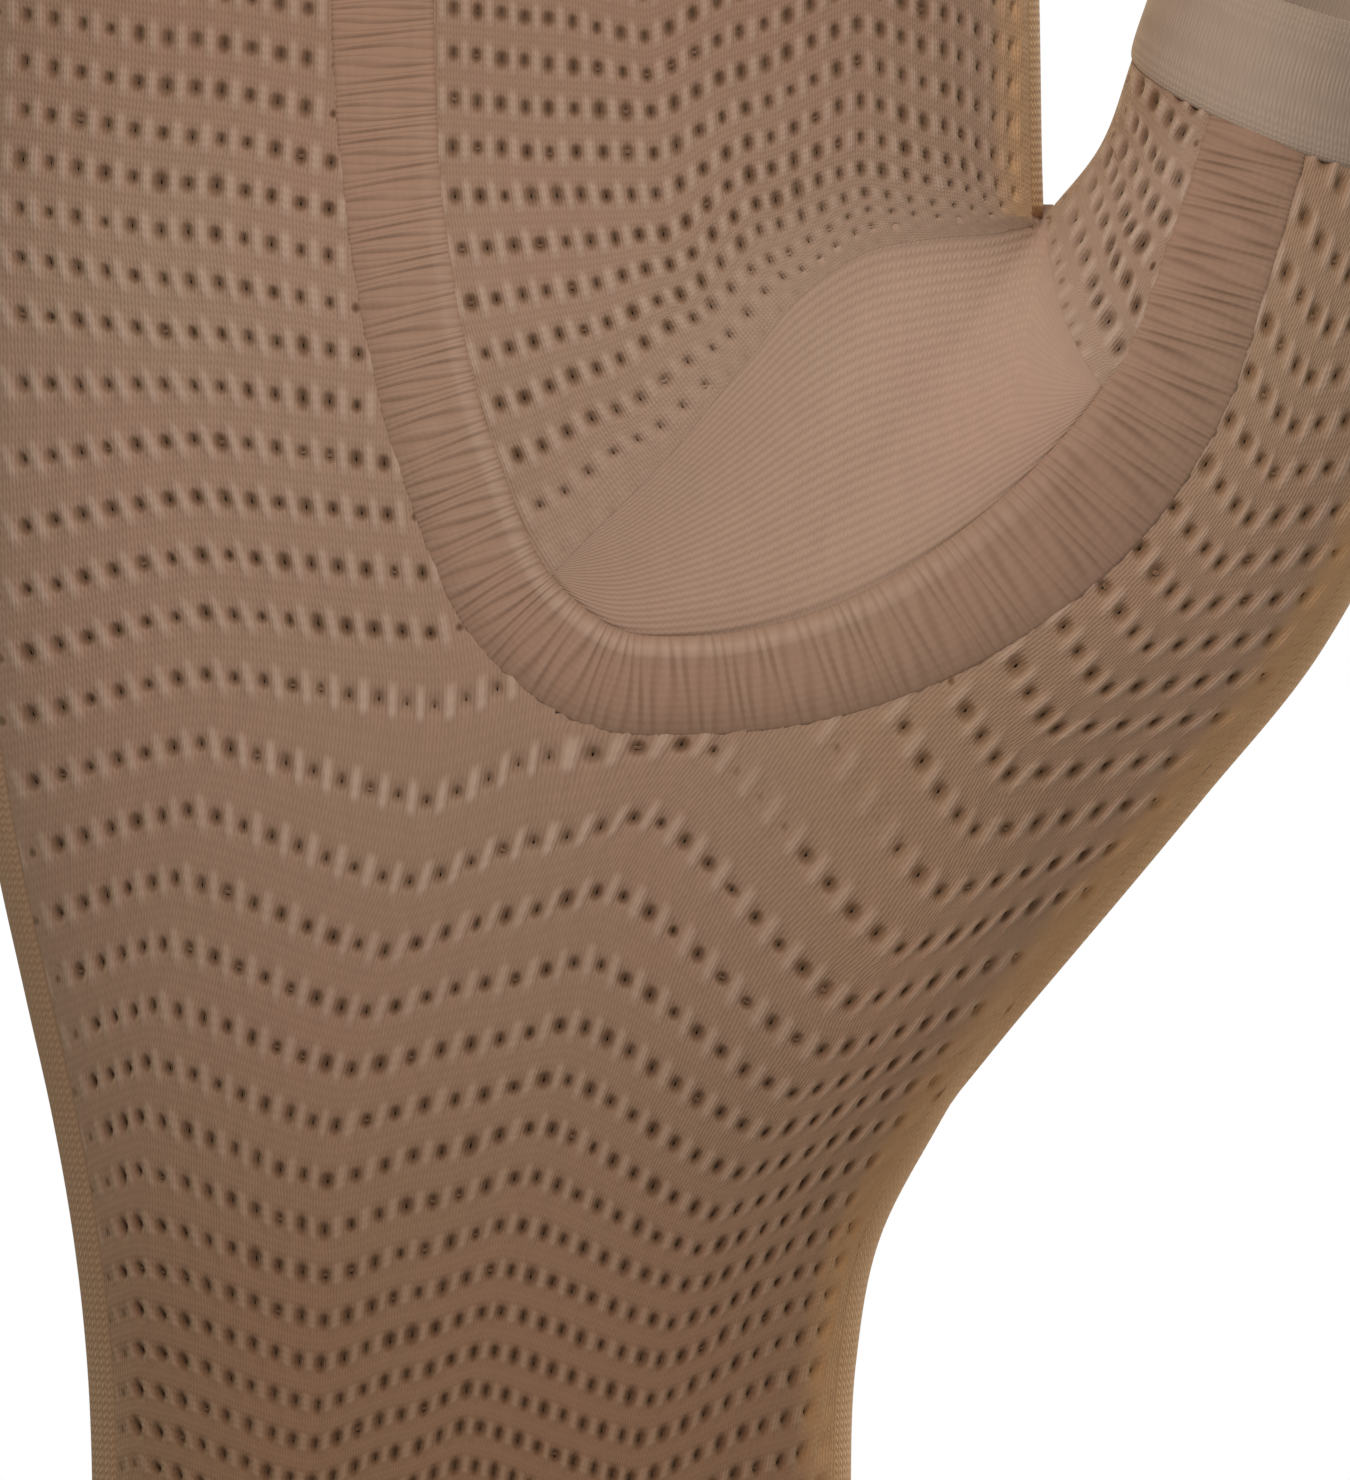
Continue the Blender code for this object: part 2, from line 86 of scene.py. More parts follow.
THUMB_TABLE = (
    (16.0, -10.8, 10.6, 10.8, 10.8, 2.0),
    (20.2, -10.9, 11.2, 11.4, 11.4, 2.0),
    (22.3, -10.8, 15.0, 12.0, 12.2, 2.0),
    (24.1, -12.4, 17.4, 12.6, 13.4, 2.05),
    (26.5, -14.0, 19.2, 13.0, 14.8, 2.1),
    (29.4, -15.0, 19.3, 13.0, 16.0, 2.15),
    (33.0, -15.6, 17.5, 12.4, 16.6, 2.2),
    (38.0, -16.0, 16.0, 10.8, 16.2, 2.2),
    (43.0, -16.0, 16.0, 8.0, 14.0, 2.2),
    (50.0, -16.0, 14.0, 2.0, 6.0, 2.2),
    (56.0, -16.0, 12.0, 0.0, 0.0, 2.2),
)
BLEND = 3.6  # power of the soft maximum: the higher, the sharper the crease between the tubes
WEB_FILL = 10.0  # how much wider the hand is where the web fills the valley between the tubes
WEB_TOP, WEB_TOP_FADE = 91.0, 17.0  # the height where that ends, and over which it fades in
WEB_FOOT, WEB_FOOT_FADE = 45.0, 20.0  # and the same at the web's foot
ARCH, ARCH_CENTRE, ARCH_HALF = 2.2, 2.5, 38.0  # how far the hand's edges drop, its middle, half
FRONT, BACK = -1.0, 1.0  # the back of the hand looks along -Y, the palm along +Y
SLOPE_STEP = 0.05  # how far to each side the form's slope is read
print("form:", len(HAND_TABLE), "sections of the hand,", len(THUMB_TABLE), "of the thumb")


# %% The form as a function
def smooth(at, knots, values):
    """A cubic through the knots, whose slope at each one comes from its neighbours."""
    slopes = np.gradient(values, knots)
    at = np.clip(at, knots[0], knots[-1])
    k = np.clip(np.searchsorted(knots, at) - 1, 0, len(knots) - 2)
    step = knots[k + 1] - knots[k]
    t = (at - knots[k]) / step
    rise = 3 * t**2 - 2 * t**3
    start = (t**3 - 2 * t**2 + t) * step * slopes[k]
    end = (t**3 - t**2) * step * slopes[k + 1]
    return values[k] * (1 - rise) + values[k + 1] * rise + start + end


def ease(t):
    """A step from 0 to 1 with level ends: 3t squared less 2t cubed."""
    t = np.clip(t, 0.0, 1.0)
    return t * t * (3 - 2 * t)


def reader(table, columns):
    """A function that reads any named column of a table smoothly along its first one."""
    rows = np.array(table, float)
    return lambda name, at: smooth(at, rows[:, 0], rows[:, columns.index(name)])


hand = reader(HAND_TABLE, HAND_COLUMNS)
thumb = reader(THUMB_TABLE, THUMB_COLUMNS)
print("the wrist is %.1f mm wide" % (hand("right", 0.0) - hand("left", 0.0)))


# %% The thumb's arc
def thumb_place(x, z):
    """The lean of the thumb's arc at (x, z), in degrees, and the distance across the arc."""
    dx, dz = x - ARC_CENTRE[0], z - ARC_CENTRE[1]
    return np.degrees(np.arctan2(-dz, dx)), np.hypot(dx, dz) - ARC_RADIUS


def thumb_point(lean, across):
    """The inverse: (x, z) at a lean and a distance across the arc."""
    turn = np.radians(lean)
    reach = ARC_RADIUS + across
    return ARC_CENTRE[0] + reach * np.cos(turn), ARC_CENTRE[1] - reach * np.sin(turn)


print("the thumb's hem has its middle at x %.1f, z %.1f mm" % thumb_point(THUMB_END_LEAN, 0.0))


# %% Depth and surface of the joined tubes
def dome(low, high, at, depth, power):
    """A superellipse between low and high: depth times (1 - |u|^p)^(1/p)."""
    share = np.clip(np.abs(2 * at - low - high) / (high - low), 0.0, 1.0)
    return depth * (1 - share**power) ** (1 / power)


def form_depth(x, z, side):
    """Depth of the joined tubes: the p-th root of the sum of their p-th powers."""
    name = "front" if side < 0 else "back"
    web = ease((WEB_TOP - z) / WEB_TOP_FADE) * ease((z - WEB_FOOT) / WEB_FOOT_FADE)
    wider = WEB_FILL * web * (side < 0)
    a = dome(hand("left", z), hand("right", z) + wider, x, hand(name, z), hand("power", z))
    lean, across = thumb_place(x, z)
    inner, outer = thumb("inner", lean), thumb("outer", lean)
    b = dome(inner, outer, across, thumb(name, lean), thumb("power", lean))
    return (a**BLEND + b**BLEND + 1e-12) ** (1 / BLEND)


def middle_y(x):
    """The middle surface: an arch across the hand, which is a parabola in x."""
    return ARCH * ((x - ARCH_CENTRE) / ARCH_HALF) ** 2


def form_y(x, z, side):
    """The middle surface less the form's depth on the front, or plus it on the back."""
    return middle_y(x) + side * form_depth(x, z, side)


def on_form(x, z, lift=0.0, side=FRONT, near=None):
    """The point of the form over (x, z), moved out by lift along the surface's normal, which is
    read at near if that is given: on the very outline the form has no slope to read. From there
    to the outline the normal's share along y falls with the depth, as it does on an ellipse."""
    x, z, lift = np.broadcast_arrays(np.asarray(x, float), np.asarray(z, float), lift)
    y, h = form_y(x, z, side), SLOPE_STEP
    nx, nz = (x, z) if near is None else near
    fx = (form_y(nx + h, nz, side) - form_y(nx - h, nz, side)) / (2 * h)
    fz = (form_y(nx, nz + h, side) - form_y(nx, nz - h, side)) / (2 * h)
    level = form_depth(x, z, side) / form_depth(nx, nz, side)
    normal = side * np.stack([-fx, level, -fz], axis=-1)
    normal /= np.linalg.norm(normal, axis=-1, keepdims=True)
    return np.stack([x, y, z], axis=-1) + np.asarray(lift)[..., None] * normal


print("depth of the back of the hand over its middle: %.1f mm" % form_depth(0.0, 60.0, FRONT))

# %% [markdown]
# ## Rings around the form
#
# The palm side and the hems are knitted round and round, so they need rings. Below the fork of
# the thumb a ring goes round hand and thumb together, and it droops on the thumb's side as
# knitting does there. Where its far edge lies has no formula, so halving an interval finds it.

# %% Rings and the fork
DROOP_START = 12.0  # rings above this height droop past the fork
TURN_WIDTH, TURN_LEAN = 9.0, 24.0  # how softly they turn down there, and how steeply, in degrees
GATHER_START = 45.0  # from here up, the ring's columns gather for the fork


def halved(inside, low, high):
    """Halves each interval between low and high, keeping the part where inside turns false."""
    for _ in range(44):
        mid = (low + high) / 2
        kept = inside(mid)
        low, high = np.where(kept, mid, low), np.where(kept, high, mid)
    return low


def at_fork(z):
    """Whether the hand's right edge at a height still lies inside the thumb."""
    lean, across = thumb_place(hand("right", z), z)
    return across > thumb("inner", lean)


FORK_Z = float(halved(at_fork, np.array(70.0), np.array(100.0)))
FORK_X = float(hand("right", FORK_Z))


def ring_z(level, x):
    """A ring's height: level, less a slope past the fork that starts along a hyperbola."""
    slope = math.tan(math.radians(TURN_LEAN)) * ease((level - DROOP_START) / (FORK_Z - DROOP_START))
    past = x - FORK_X
    return level - slope * (past + np.sqrt(past**2 + TURN_WIDTH**2) - TURN_WIDTH) / 2


def ring_left(level):
    """The little finger's edge of a ring, where the ring's own height meets the outline."""
    x = hand("left", level)
    for _ in range(4):
        x = hand("left", ring_z(level, x))
    return x


def ring_right(level):
    """The thumb's edge of a ring: the last x that is inside the hand or the thumb."""

    def inside(x):
        """Whether the ring's point at x lies in the hand or in the thumb."""
        z = ring_z(level, x)
        lean, across = thumb_place(x, z)
        return (x < hand("right", z)) | ((across < thumb("outer", lean)) & (lean < 50.0))

    return halved(inside, np.full_like(level, 15.0), np.full_like(level, 78.0))


print("the fork of the thumb is at x %.1f, z %.1f mm" % (FORK_X, FORK_Z))

# %% [markdown]
# ## The borders between the knitted zones
#
# A zone ends at a curve: an edge of the ribbed band, a border of the web, or the line where the
# openwork gives way to the plain knit of the palm. One function measures how far any point lies
# from such a curve and on which side, so that a zone is simply where that distance is positive.

# %% Curves and distances from them
BAND_PATH = (  # x, z and width
    (-6.4, 134.0, 7.5),
    (-6.2, 107.0, 7.5),
    (-5.0, 90.0, 7.3),
    (-1.3, 73.5, 7.3),
    (4.3, 62.2, 7.4),
    (9.6, 58.6, 7.4),
    (16.4, 58.1, 7.2),
    (27.5, 60.2, 8.0),
    (37.4, 65.4, 9.0),
    (44.6, 71.6, 9.2),
    (49.9, 79.0, 8.6),
    (53.4, 88.5, 8.0),
    (56.8, 99.5, 7.6),
    (63.0, 120.0, 7.6),
)
WEB_LEFT = (
    (0.5, 60.5),
    (6.0, 66.8),
    (14.2, 75.2),
    (19.6, 81.8),
    (24.0, 86.8),
    (28.2, 89.5),
    (33.2, 90.5),
    (37.6, 90.9),
    (40.8, 91.7),
)
WEB_RIGHT = ((41.5, 91.7), (42.0, 87.6), (43.2, 83.6), (45.8, 79.2), (50.0, 74.6))
print("points set by hand:", len(BAND_PATH), "(band),", len(WEB_LEFT + WEB_RIGHT), "(web)")


# %% Following a curve
def curve_through(rows, count):
    """A smooth curve through the rows, with its points evenly spread along its length."""
    rows = np.array(rows, float)
    along = np.concatenate([[0.0], np.cumsum(np.hypot(*np.diff(rows[:, :2], axis=0).T))])
    at = np.linspace(0.0, along[-1], count)
    return np.stack([smooth(at, along, rows[:, c]) for c in range(rows.shape[1])], axis=1)


def left_normals(curve):
    """Unit vectors to the left of the curve's direction, in the (x, z) plane."""
    along = np.gradient(curve[:, :2], axis=0)
    along /= np.linalg.norm(along, axis=1, keepdims=True)
    return np.stack([-along[:, 1], along[:, 0]], axis=1)


def from_curve(curve, x, z):
    """Signed distance to the left of a curve, and the share of its length that is nearest."""
    normals = left_normals(curve)
    points = np.stack([np.ravel(x), np.ravel(z)], axis=1)
    nearest = np.empty(len(points), int)
    for start in range(0, len(points), 20000):
        part = points[start : start + 20000]
        gaps = (part[:, :1] - curve[:, 0]) ** 2 + (part[:, 1:] - curve[:, 1]) ** 2
        nearest[start : start + 20000] = gaps.argmin(axis=1)
    away = ((points - curve[nearest, :2]) * normals[nearest]).sum(axis=1)
    share = nearest / (len(curve) - 1)
    return away.reshape(np.shape(x)), share.reshape(np.shape(x))


BAND = curve_through(BAND_PATH, 500)
WEB_EDGE_LEFT = curve_through(WEB_LEFT, 200)
WEB_EDGE_RIGHT = curve_through(WEB_RIGHT, 120)


# %% Distances from the band and the web
def from_band(x, z):
    """The distance inwards from the band's middle line, and half the band's width there."""
    inward, share = from_curve(BAND, x, z)
    return inward, np.interp(share, np.linspace(0, 1, len(BAND)), BAND[:, 2]) / 2


def outside_band(x, z):
    """How far a point lies outside the band's outer edge."""
    inward, half = from_band(x, z)
    return -inward - half


def inside_band(x, z):
    """How far a point lies inside the band's inner edge."""
    inward, half = from_band(x, z)
    return inward - half


def from_web_top(x, z):
    """How far a point lies from the web's upper border, on either side of it."""
    left, right = (from_curve(edge, x, z)[0] for edge in (WEB_EDGE_LEFT, WEB_EDGE_RIGHT))
    return np.minimum(np.abs(left), np.abs(right))


print("the band's path is %.0f mm long" % np.hypot(*np.diff(BAND[:, :2], axis=0).T).sum())

# %% The openwork's own borders with the palm's plain knit
RIM_LEFT, RIM_RIGHT, RIM_FORK, RIM_THUMB = 2.5, 1.9, 1.4, 0.6  # width of the rims from the front
THUMB_TILT = 0.22  # how far a ring of the thumb leans towards the back of the hand
GOLDEN_TOP, GOLDEN_FADE = 86.0, 14.0  # height where the thumb's rim loses its golden tint
GOLDEN_LEFT = 0.3  # strength of that tint by the little finger


def rim_curves():
    """The lines where the plain knit of the palm side comes round to the front."""
    level = np.linspace(FOREARM_END, FORK_Z, 160)
    x = ring_right(level) - RIM_RIGHT
    right = np.stack([x, ring_z(level, x)], axis=1)
    lean = np.linspace(thumb_place(*right[-1])[0] - 0.4, THUMB_END_LEAN - 1, 50)
    right_thumb = np.stack(thumb_point(lean, thumb("outer", lean) - RIM_RIGHT), axis=1)
    height = np.linspace(FOREARM_END, FINGER_END, 200)
    left = np.stack([hand("left", height) + RIM_LEFT, height], axis=1)
    above = np.linspace(FORK_Z, FINGER_END, 80)
    fork = np.stack([hand("right", above) - RIM_FORK, above], axis=1)
    lean = np.linspace(thumb_place(FORK_X, FORK_Z)[0], THUMB_END_LEAN - 1, 50)
    inner = np.stack(thumb_point(lean, thumb("inner", lean) + RIM_THUMB), axis=1)
    return left, np.concatenate([right, right_thumb]), fork, inner


def golden_and_sheen_share(x, z):
    """How golden a rim is, partly golden yarn and partly a painted golden sheen: fully at the
    right of the wrist and at the fork, faintly by the little finger, and less and less up the
    thumb."""
    right = np.where(x > FORK_X, ease((GOLDEN_TOP - z) / GOLDEN_FADE), 1.0)
    return np.where(x < 0, GOLDEN_LEFT, right)


EDGE_LEFT, EDGE_RIGHT, EDGE_FORK, EDGE_THUMB = rim_curves()
print("rim curves:", [len(c) for c in (EDGE_LEFT, EDGE_RIGHT, EDGE_FORK, EDGE_THUMB)])

# %% [markdown]
# ## The lattice of eyelets
#
# The openwork has a column of eyelets every few wales and a row every few courses, and its rows
# run in waves. A repeat on a flat sheet could be bent round the hand, but stretch would then
# have to be guessed. Instead a few rows are set out over the back of the glove, with
# their crests and valleys, and every other eyelet lies between those. Along a row, x runs
# evenly from one crest to the next, and z follows it with rounded turns.

# %% Rows of the back of the hand
MAIN_COLUMNS = (-8.0, 0.0, 8.0, 12.0, 15.4, 24.0, 31.0)
MAIN_ROWS = (  # row number, then (x, z) at each of those columns
    (-4, (-36.4, 120.4), (-19.4, 118.6), (-3.2, 115.9), (4.8, 117.1),
     (57.0, 114.0), (67.5, 99.5), (78.0, 101.5)),
    (0, (-35.7, 106.4), (-19.4, 104.0), (-3.6, 101.3), (4.4, 102.5),
     (52.1, 96.4), (61.4, 83.6), (73.6, 85.7)),
    (4, (-36.1, 92.5), (-20.0, 90.4), (-4.1, 87.7), (3.9, 89.3),
     (46.5, 82.5), (55.7, 70.0), (70.0, 71.4)),
    (6, (-36.1, 85.0), (-19.6, 83.2), (-4.0, 81.3), (4.0, 82.9),
     (41.9, 77.0), (51.1, 63.8), (66.1, 65.0)),
    (8, (-35.9, 73.9), (-19.6, 75.6), (-4.1, 73.9), (3.9, 76.1),
     (36.8, 72.1), (45.4, 57.9), (61.4, 59.1)),
    (10, (-35.7, 64.3), (-19.1, 67.4), (-3.4, 66.1), (4.6, 68.3),
     (29.3, 66.4), (38.6, 51.8), (54.6, 53.1)),
    (12, (-35.4, 55.4), (-18.7, 58.9), (-2.4, 56.7), (6.4, 59.1),
     (20.7, 60.4), (33.6, 43.4), (47.9, 46.9)),
    (13, (-35.1, 50.6), (-19.1, 54.0), (-3.0, 50.0), (5.7, 53.1),
     (16.4, 54.1), (30.7, 39.4), (44.1, 43.4)),
    (14, (-34.9, 45.6), (-20.0, 49.2), (-4.2, 44.2), (4.6, 47.0),
     (12.7, 48.9), (27.1, 35.6), (41.1, 39.1)),
    (15, (-34.3, 40.7), (-20.9, 44.4), (-5.9, 39.3), (2.7, 41.8),
     (10.0, 43.6), (25.1, 32.1), (38.2, 35.5)),
    (17, (-33.6, 31.3), (-22.5, 35.4), (-8.4, 30.9), (0.1, 32.6),
     (7.3, 34.1), (21.1, 26.4), (33.2, 30.0)),
    (19, (-32.9, 23.4), (-23.4, 27.4), (-10.1, 23.0), (-1.9, 25.1),
     (5.1, 26.9), (17.5, 20.6), (28.7, 24.3)),
    (21, (-32.3, 16.3), (-23.6, 20.0), (-10.2, 16.2), (-3.1, 18.2),
     (3.0, 19.9), (15.4, 15.5), (25.9, 19.1)),
    (24, (-31.8, 7.3), (-23.5, 10.9), (-10.7, 7.1), (-4.4, 9.2),
     (1.0, 11.0), (12.9, 7.4), (23.6, 11.7)),
    (27, (-31.4, -0.9), (-23.8, 2.8), (-11.4, -1.1), (-5.5, 1.1),
     (-0.4, 2.9), (11.0, -0.9), (22.1, 3.0)),
    (48, (-33.6, -59.3), (-25.7, -55.6), (-12.1, -59.4), (-5.6, -57.4),
     (-0.1, -55.6), (12.1, -59.4), (24.6, -55.6)),
)

# %% Rows of the panel over the fingers
INNER_COLUMNS = (0.0, 4.0, 8.0, 12.0, 17.0, 21.0, 25.0)
INNER_ROWS = (
    (-4, (-1.1, 119.1), (5.6, 118.6), (12.5, 117.6), (19.1, 120.7),
     (27.7, 123.3), (33.9, 121.4), (38.9, 119.3)),
    (0, (-1.1, 106.2), (5.7, 105.5), (12.5, 104.2), (19.3, 107.4),
     (27.7, 110.5), (33.9, 108.6), (38.8, 106.4)),
    (2, (-1.1, 99.7), (5.7, 99.1), (13.0, 98.9), (19.4, 101.8),
     (27.7, 105.2), (33.9, 103.3), (38.7, 101.0)),
    (4, (-1.0, 92.9), (6.2, 92.9), (13.4, 93.0), (19.9, 96.6),
     (27.9, 99.7), (33.9, 97.9), (38.7, 95.4)),
    (5, (-0.5, 89.1), (6.9, 89.6), (13.9, 90.2), (20.0, 94.4),
     (27.9, 97.1), (34.1, 95.5), (38.9, 93.2)),
    (6, (0.2, 85.4), (7.4, 86.3), (14.3, 88.0), (20.4, 92.3),
     (27.9, 94.9), (34.3, 93.8), (39.3, 91.9)),
    (7, (1.1, 81.7), (8.2, 83.4), (15.1, 85.9), (20.7, 90.4),
     (28.2, 93.1), (34.6, 92.3), (39.9, 91.0)),
    (8, (2.2, 78.1), (9.1, 80.6), (15.9, 84.2), (21.4, 88.4),
     (28.4, 91.9), (35.0, 91.4), (40.2, 90.6)),
    (9, (3.5, 74.5), (10.5, 77.7), (17.3, 82.0), (22.4, 87.1),
     (28.7, 90.8), (35.4, 90.6), (40.5, 90.3)),
    (10, (5.0, 71.0), (12.0, 75.6), (18.4, 80.4), (23.4, 86.0),
     (29.1, 89.7), (35.9, 89.9), (40.7, 89.9)),
    (12, (8.6, 65.0), (15.7, 70.7), (21.1, 76.4), (25.7, 82.9),
     (30.0, 87.1), (36.8, 88.0), (41.1, 89.0)),
)

# %% Rows of the thumb
THUMB_MESH_COLUMNS = (0.0, 3.0, 6.0)
THUMB_MESH_ROWS = (
    (-2, (49.6, 104.3), (52.5, 101.1), (56.6, 98.0)),
    (0, (47.9, 100.9), (50.7, 97.6), (53.9, 95.0)),
    (1, (47.4, 98.2), (49.3, 95.2), (52.6, 92.0)),
    (2, (46.6, 96.3), (48.6, 92.4), (51.4, 89.4)),
    (3, (45.9, 94.6), (47.1, 90.8), (49.5, 86.9)),
    (4, (44.8, 92.5), (46.0, 88.4), (48.3, 83.9)),
    (5, (43.4, 90.1), (44.7, 85.5), (46.9, 80.9)),
    (6, (41.9, 88.4), (42.8, 83.9), (44.4, 79.4)),
    (7, (40.4, 86.8), (40.9, 82.5), (42.1, 78.3)),
)
print("rows set out by hand:", len(MAIN_ROWS), len(INNER_ROWS), len(THUMB_MESH_ROWS))

# %% Every eyelet between those rows
TURN_ROUNDING = 0.55  # 0 keeps a wave's corners sharp, 1 rounds them fully


class Lattice:
    """Rows of eyelets: place(column, row) is where that eyelet lies, in x and z."""

    def __init__(self, columns, rows):
        """Stations are the (x, z) of each row, at the columns that have one."""
        self.columns = np.array(columns)
        self.rows = np.array([row[0] for row in rows], float)
        self.stations = np.array([row[1:] for row in rows], float)

    def place(self, column, row):
        """Each station runs smoothly from row to row; beyond the table it goes on straight."""
        column, row = np.broadcast_arrays(np.asarray(column, float), np.asarray(row, float))
        shape, column, row = column.shape, column.ravel(), row.ravel()
        k = np.clip(np.searchsorted(self.columns, column) - 1, 0, len(self.columns) - 2)
        t = (column - self.columns[k]) / (self.columns[k + 1] - self.columns[k])
        bend = np.where((t > 0) & (t < 1), t + TURN_ROUNDING * (ease(t) - t), t)
        out = []
        for axis, share in ((0, t), (1, bend)):
            at = np.stack([self.beyond(row, values) for values in self.stations[:, :, axis].T])
            here = np.arange(len(row))
            out.append(at[k, here] + share * (at[k + 1, here] - at[k, here]))
        return out[0].reshape(shape), out[1].reshape(shape)

    def beyond(self, row, values):
        """A station at any row: smooth inside the table, and straight on past its ends."""
        low, high = self.rows[0], self.rows[-1]
        start = (values[1] - values[0]) / (self.rows[1] - low)
        end = (values[-1] - values[-2]) / (high - self.rows[-2])
        outside = start * np.minimum(row - low, 0) + end * np.maximum(row - high, 0)
        return smooth(row, self.rows, values) + outside


MAIN = Lattice(MAIN_COLUMNS, MAIN_ROWS)
INNER = Lattice(INNER_COLUMNS, INNER_ROWS)
SLEEVE = Lattice(THUMB_MESH_COLUMNS, THUMB_MESH_ROWS)
pitch = np.hypot(*np.subtract(MAIN.place(1.5, 3.0), MAIN.place(0.5, 3.0)))
print("eyelets of the back of the hand are %.2f mm apart along a row" % pitch)

# %% [markdown]
# ## Cells with real holes
#
# One eyelet is a small cell: the cloth around it, a soft lip that dips towards the hole, and the
# edge of the yarn turned in. A picture of holes would be lighter, but real holes let light
# through and shade themselves. Each cell has five rings of twelve points, from the cell's border
# to the turned-in edge. An eyelet stands along its wale, as a dropped stitch does, and a loose
# thread crosses some of them. Between neighbours stands a low bar of drawn-up yarn, and where
# the openwork closes, a cell keeps its bars and has no hole.

# %% The cell's pattern of points
CELL_BORDER = np.array(
    [(0.5, 0), (0.5, 0.25), (0.5, 0.5), (0, 0.5), (-0.5, 0.5), (-0.5, 0.25)]
    + [(-0.5, 0), (-0.5, -0.25), (-0.5, -0.5), (0, -0.5), (0.5, -0.5), (0.5, -0.25)]
)
AROUND = np.radians(np.arange(0, 360, 30))
CIRCLE = np.stack([np.cos(AROUND), np.sin(AROUND)], axis=1)
SPINE = np.array([(0, -0.25), (0, 0), (0, 0.25)])
THREAD = np.array([(p, q) for p in (-1.3, -0.45, 0.45, 1.3) for q in (-0.36, 0.0, 0.36)])
THREAD_DIP = np.tile([0.3, 0.2, 0.3], 4) + np.repeat([0.12, 0.0, 0.0, 0.12], 3)
HOLE_WIDTH, HOLE_HEIGHT = 0.145, 0.39  # half its width against the pitch, half its height in mm
HOLE_SHARE = 0.2  # and half its height at most, against the distance between rows
SLANT = 0.35  # how far an eyelet leans with its row instead of standing square on its wale
BAR_HEIGHT, BAR_WIDTH, BAR_LENGTH = 0.14, 0.15, 0.34
LIP = ((1.75, 1.75, 0.05), (1.0, 1.0, 0.24), (0.17, 0.36, 0.40))  # size each way and dip in mm
MIDDLE_SHARE = 0.58  # how far a cell's second ring lies from its border towards the lip
CLOSED_DIP = 0.05  # depth of the crease down a closed cell
THREAD_SHARE = 0.1  # how many eyelets have a loose thread across them


def bars(u, v):
    """Height of the bars: a ridge along each side of the cell that dies out above and below."""
    ridge = np.exp(-(((0.5 - np.abs(u)) / BAR_WIDTH) ** 2))
    return BAR_HEIGHT * ridge * np.exp(-((np.abs(v) / BAR_LENGTH) ** 3))


def in_frame(offset, first, second):
    """Coordinates of offsets along two vectors that need not be square to each other."""
    det = first[..., 0] * second[..., 1] - first[..., 1] * second[..., 0]
    a = (offset[..., 0] * second[..., 1] - offset[..., 1] * second[..., 0]) / det
    b = (first[..., 0] * offset[..., 1] - first[..., 1] * offset[..., 0]) / det
    return np.stack([a, b], axis=-1)


def unit(vectors):
    """Vectors of length 1: each one over its length."""
    return vectors / np.linalg.norm(vectors, axis=-1, keepdims=True)


def cell_frames(lattice, column, row, lean):
    """Each cell's centre, its steps to the next column and row, and its eyelet's two axes."""
    spot = lambda du, dv: np.stack(lattice.place(column + du, row + dv), axis=-1)
    next_column = 2 * (spot(0.25, 0) - spot(-0.25, 0))
    next_row = 2 * (spot(0, 0.25) - spot(0, -0.25))
    wale = unit(next_row + lean[:, None] * next_column)
    square = np.stack([-wale[:, 1], wale[:, 0]], axis=1)
    pitch = np.abs((next_column * square).sum(axis=1, keepdims=True))
    across = unit(square + SLANT * (unit(next_column) - square))
    height = np.linalg.norm(next_row, axis=1, keepdims=True)
    height = np.minimum(HOLE_HEIGHT, HOLE_SHARE * height)
    return spot(0, 0), next_column, next_row, across * HOLE_WIDTH * pitch, wale * height


print("points of a cell's border:", len(CELL_BORDER), " rings:", 2 + len(LIP))


# %% Cells become one mesh
def shared_ids(u, v):
    """One number for each place on the borders of cells, so that neighbours share points."""
    keys = np.stack([np.rint(u * 4), np.rint(v * 8)], axis=-1).astype(int).reshape(-1, 2)
    unique, first, ids = np.unique(keys, axis=0, return_index=True, return_inverse=True)
    return first, ids.reshape(u.shape)


def strip_quads(outer, inner):
    """Quads between two closed rings of twelve, given as (cells, 12) arrays of point numbers."""
    return np.stack([outer, np.roll(outer, -1, 1), np.roll(inner, -1, 1), inner], axis=-1)


def grid_quads(ids):
    """Quads of a grid of point numbers, or of a stack of such grids, as one list."""
    corners = ids[..., :-1, :-1], ids[..., :-1, 1:], ids[..., 1:, 1:], ids[..., 1:, :-1]
    return np.stack(corners, axis=-1).reshape(-1, 4)


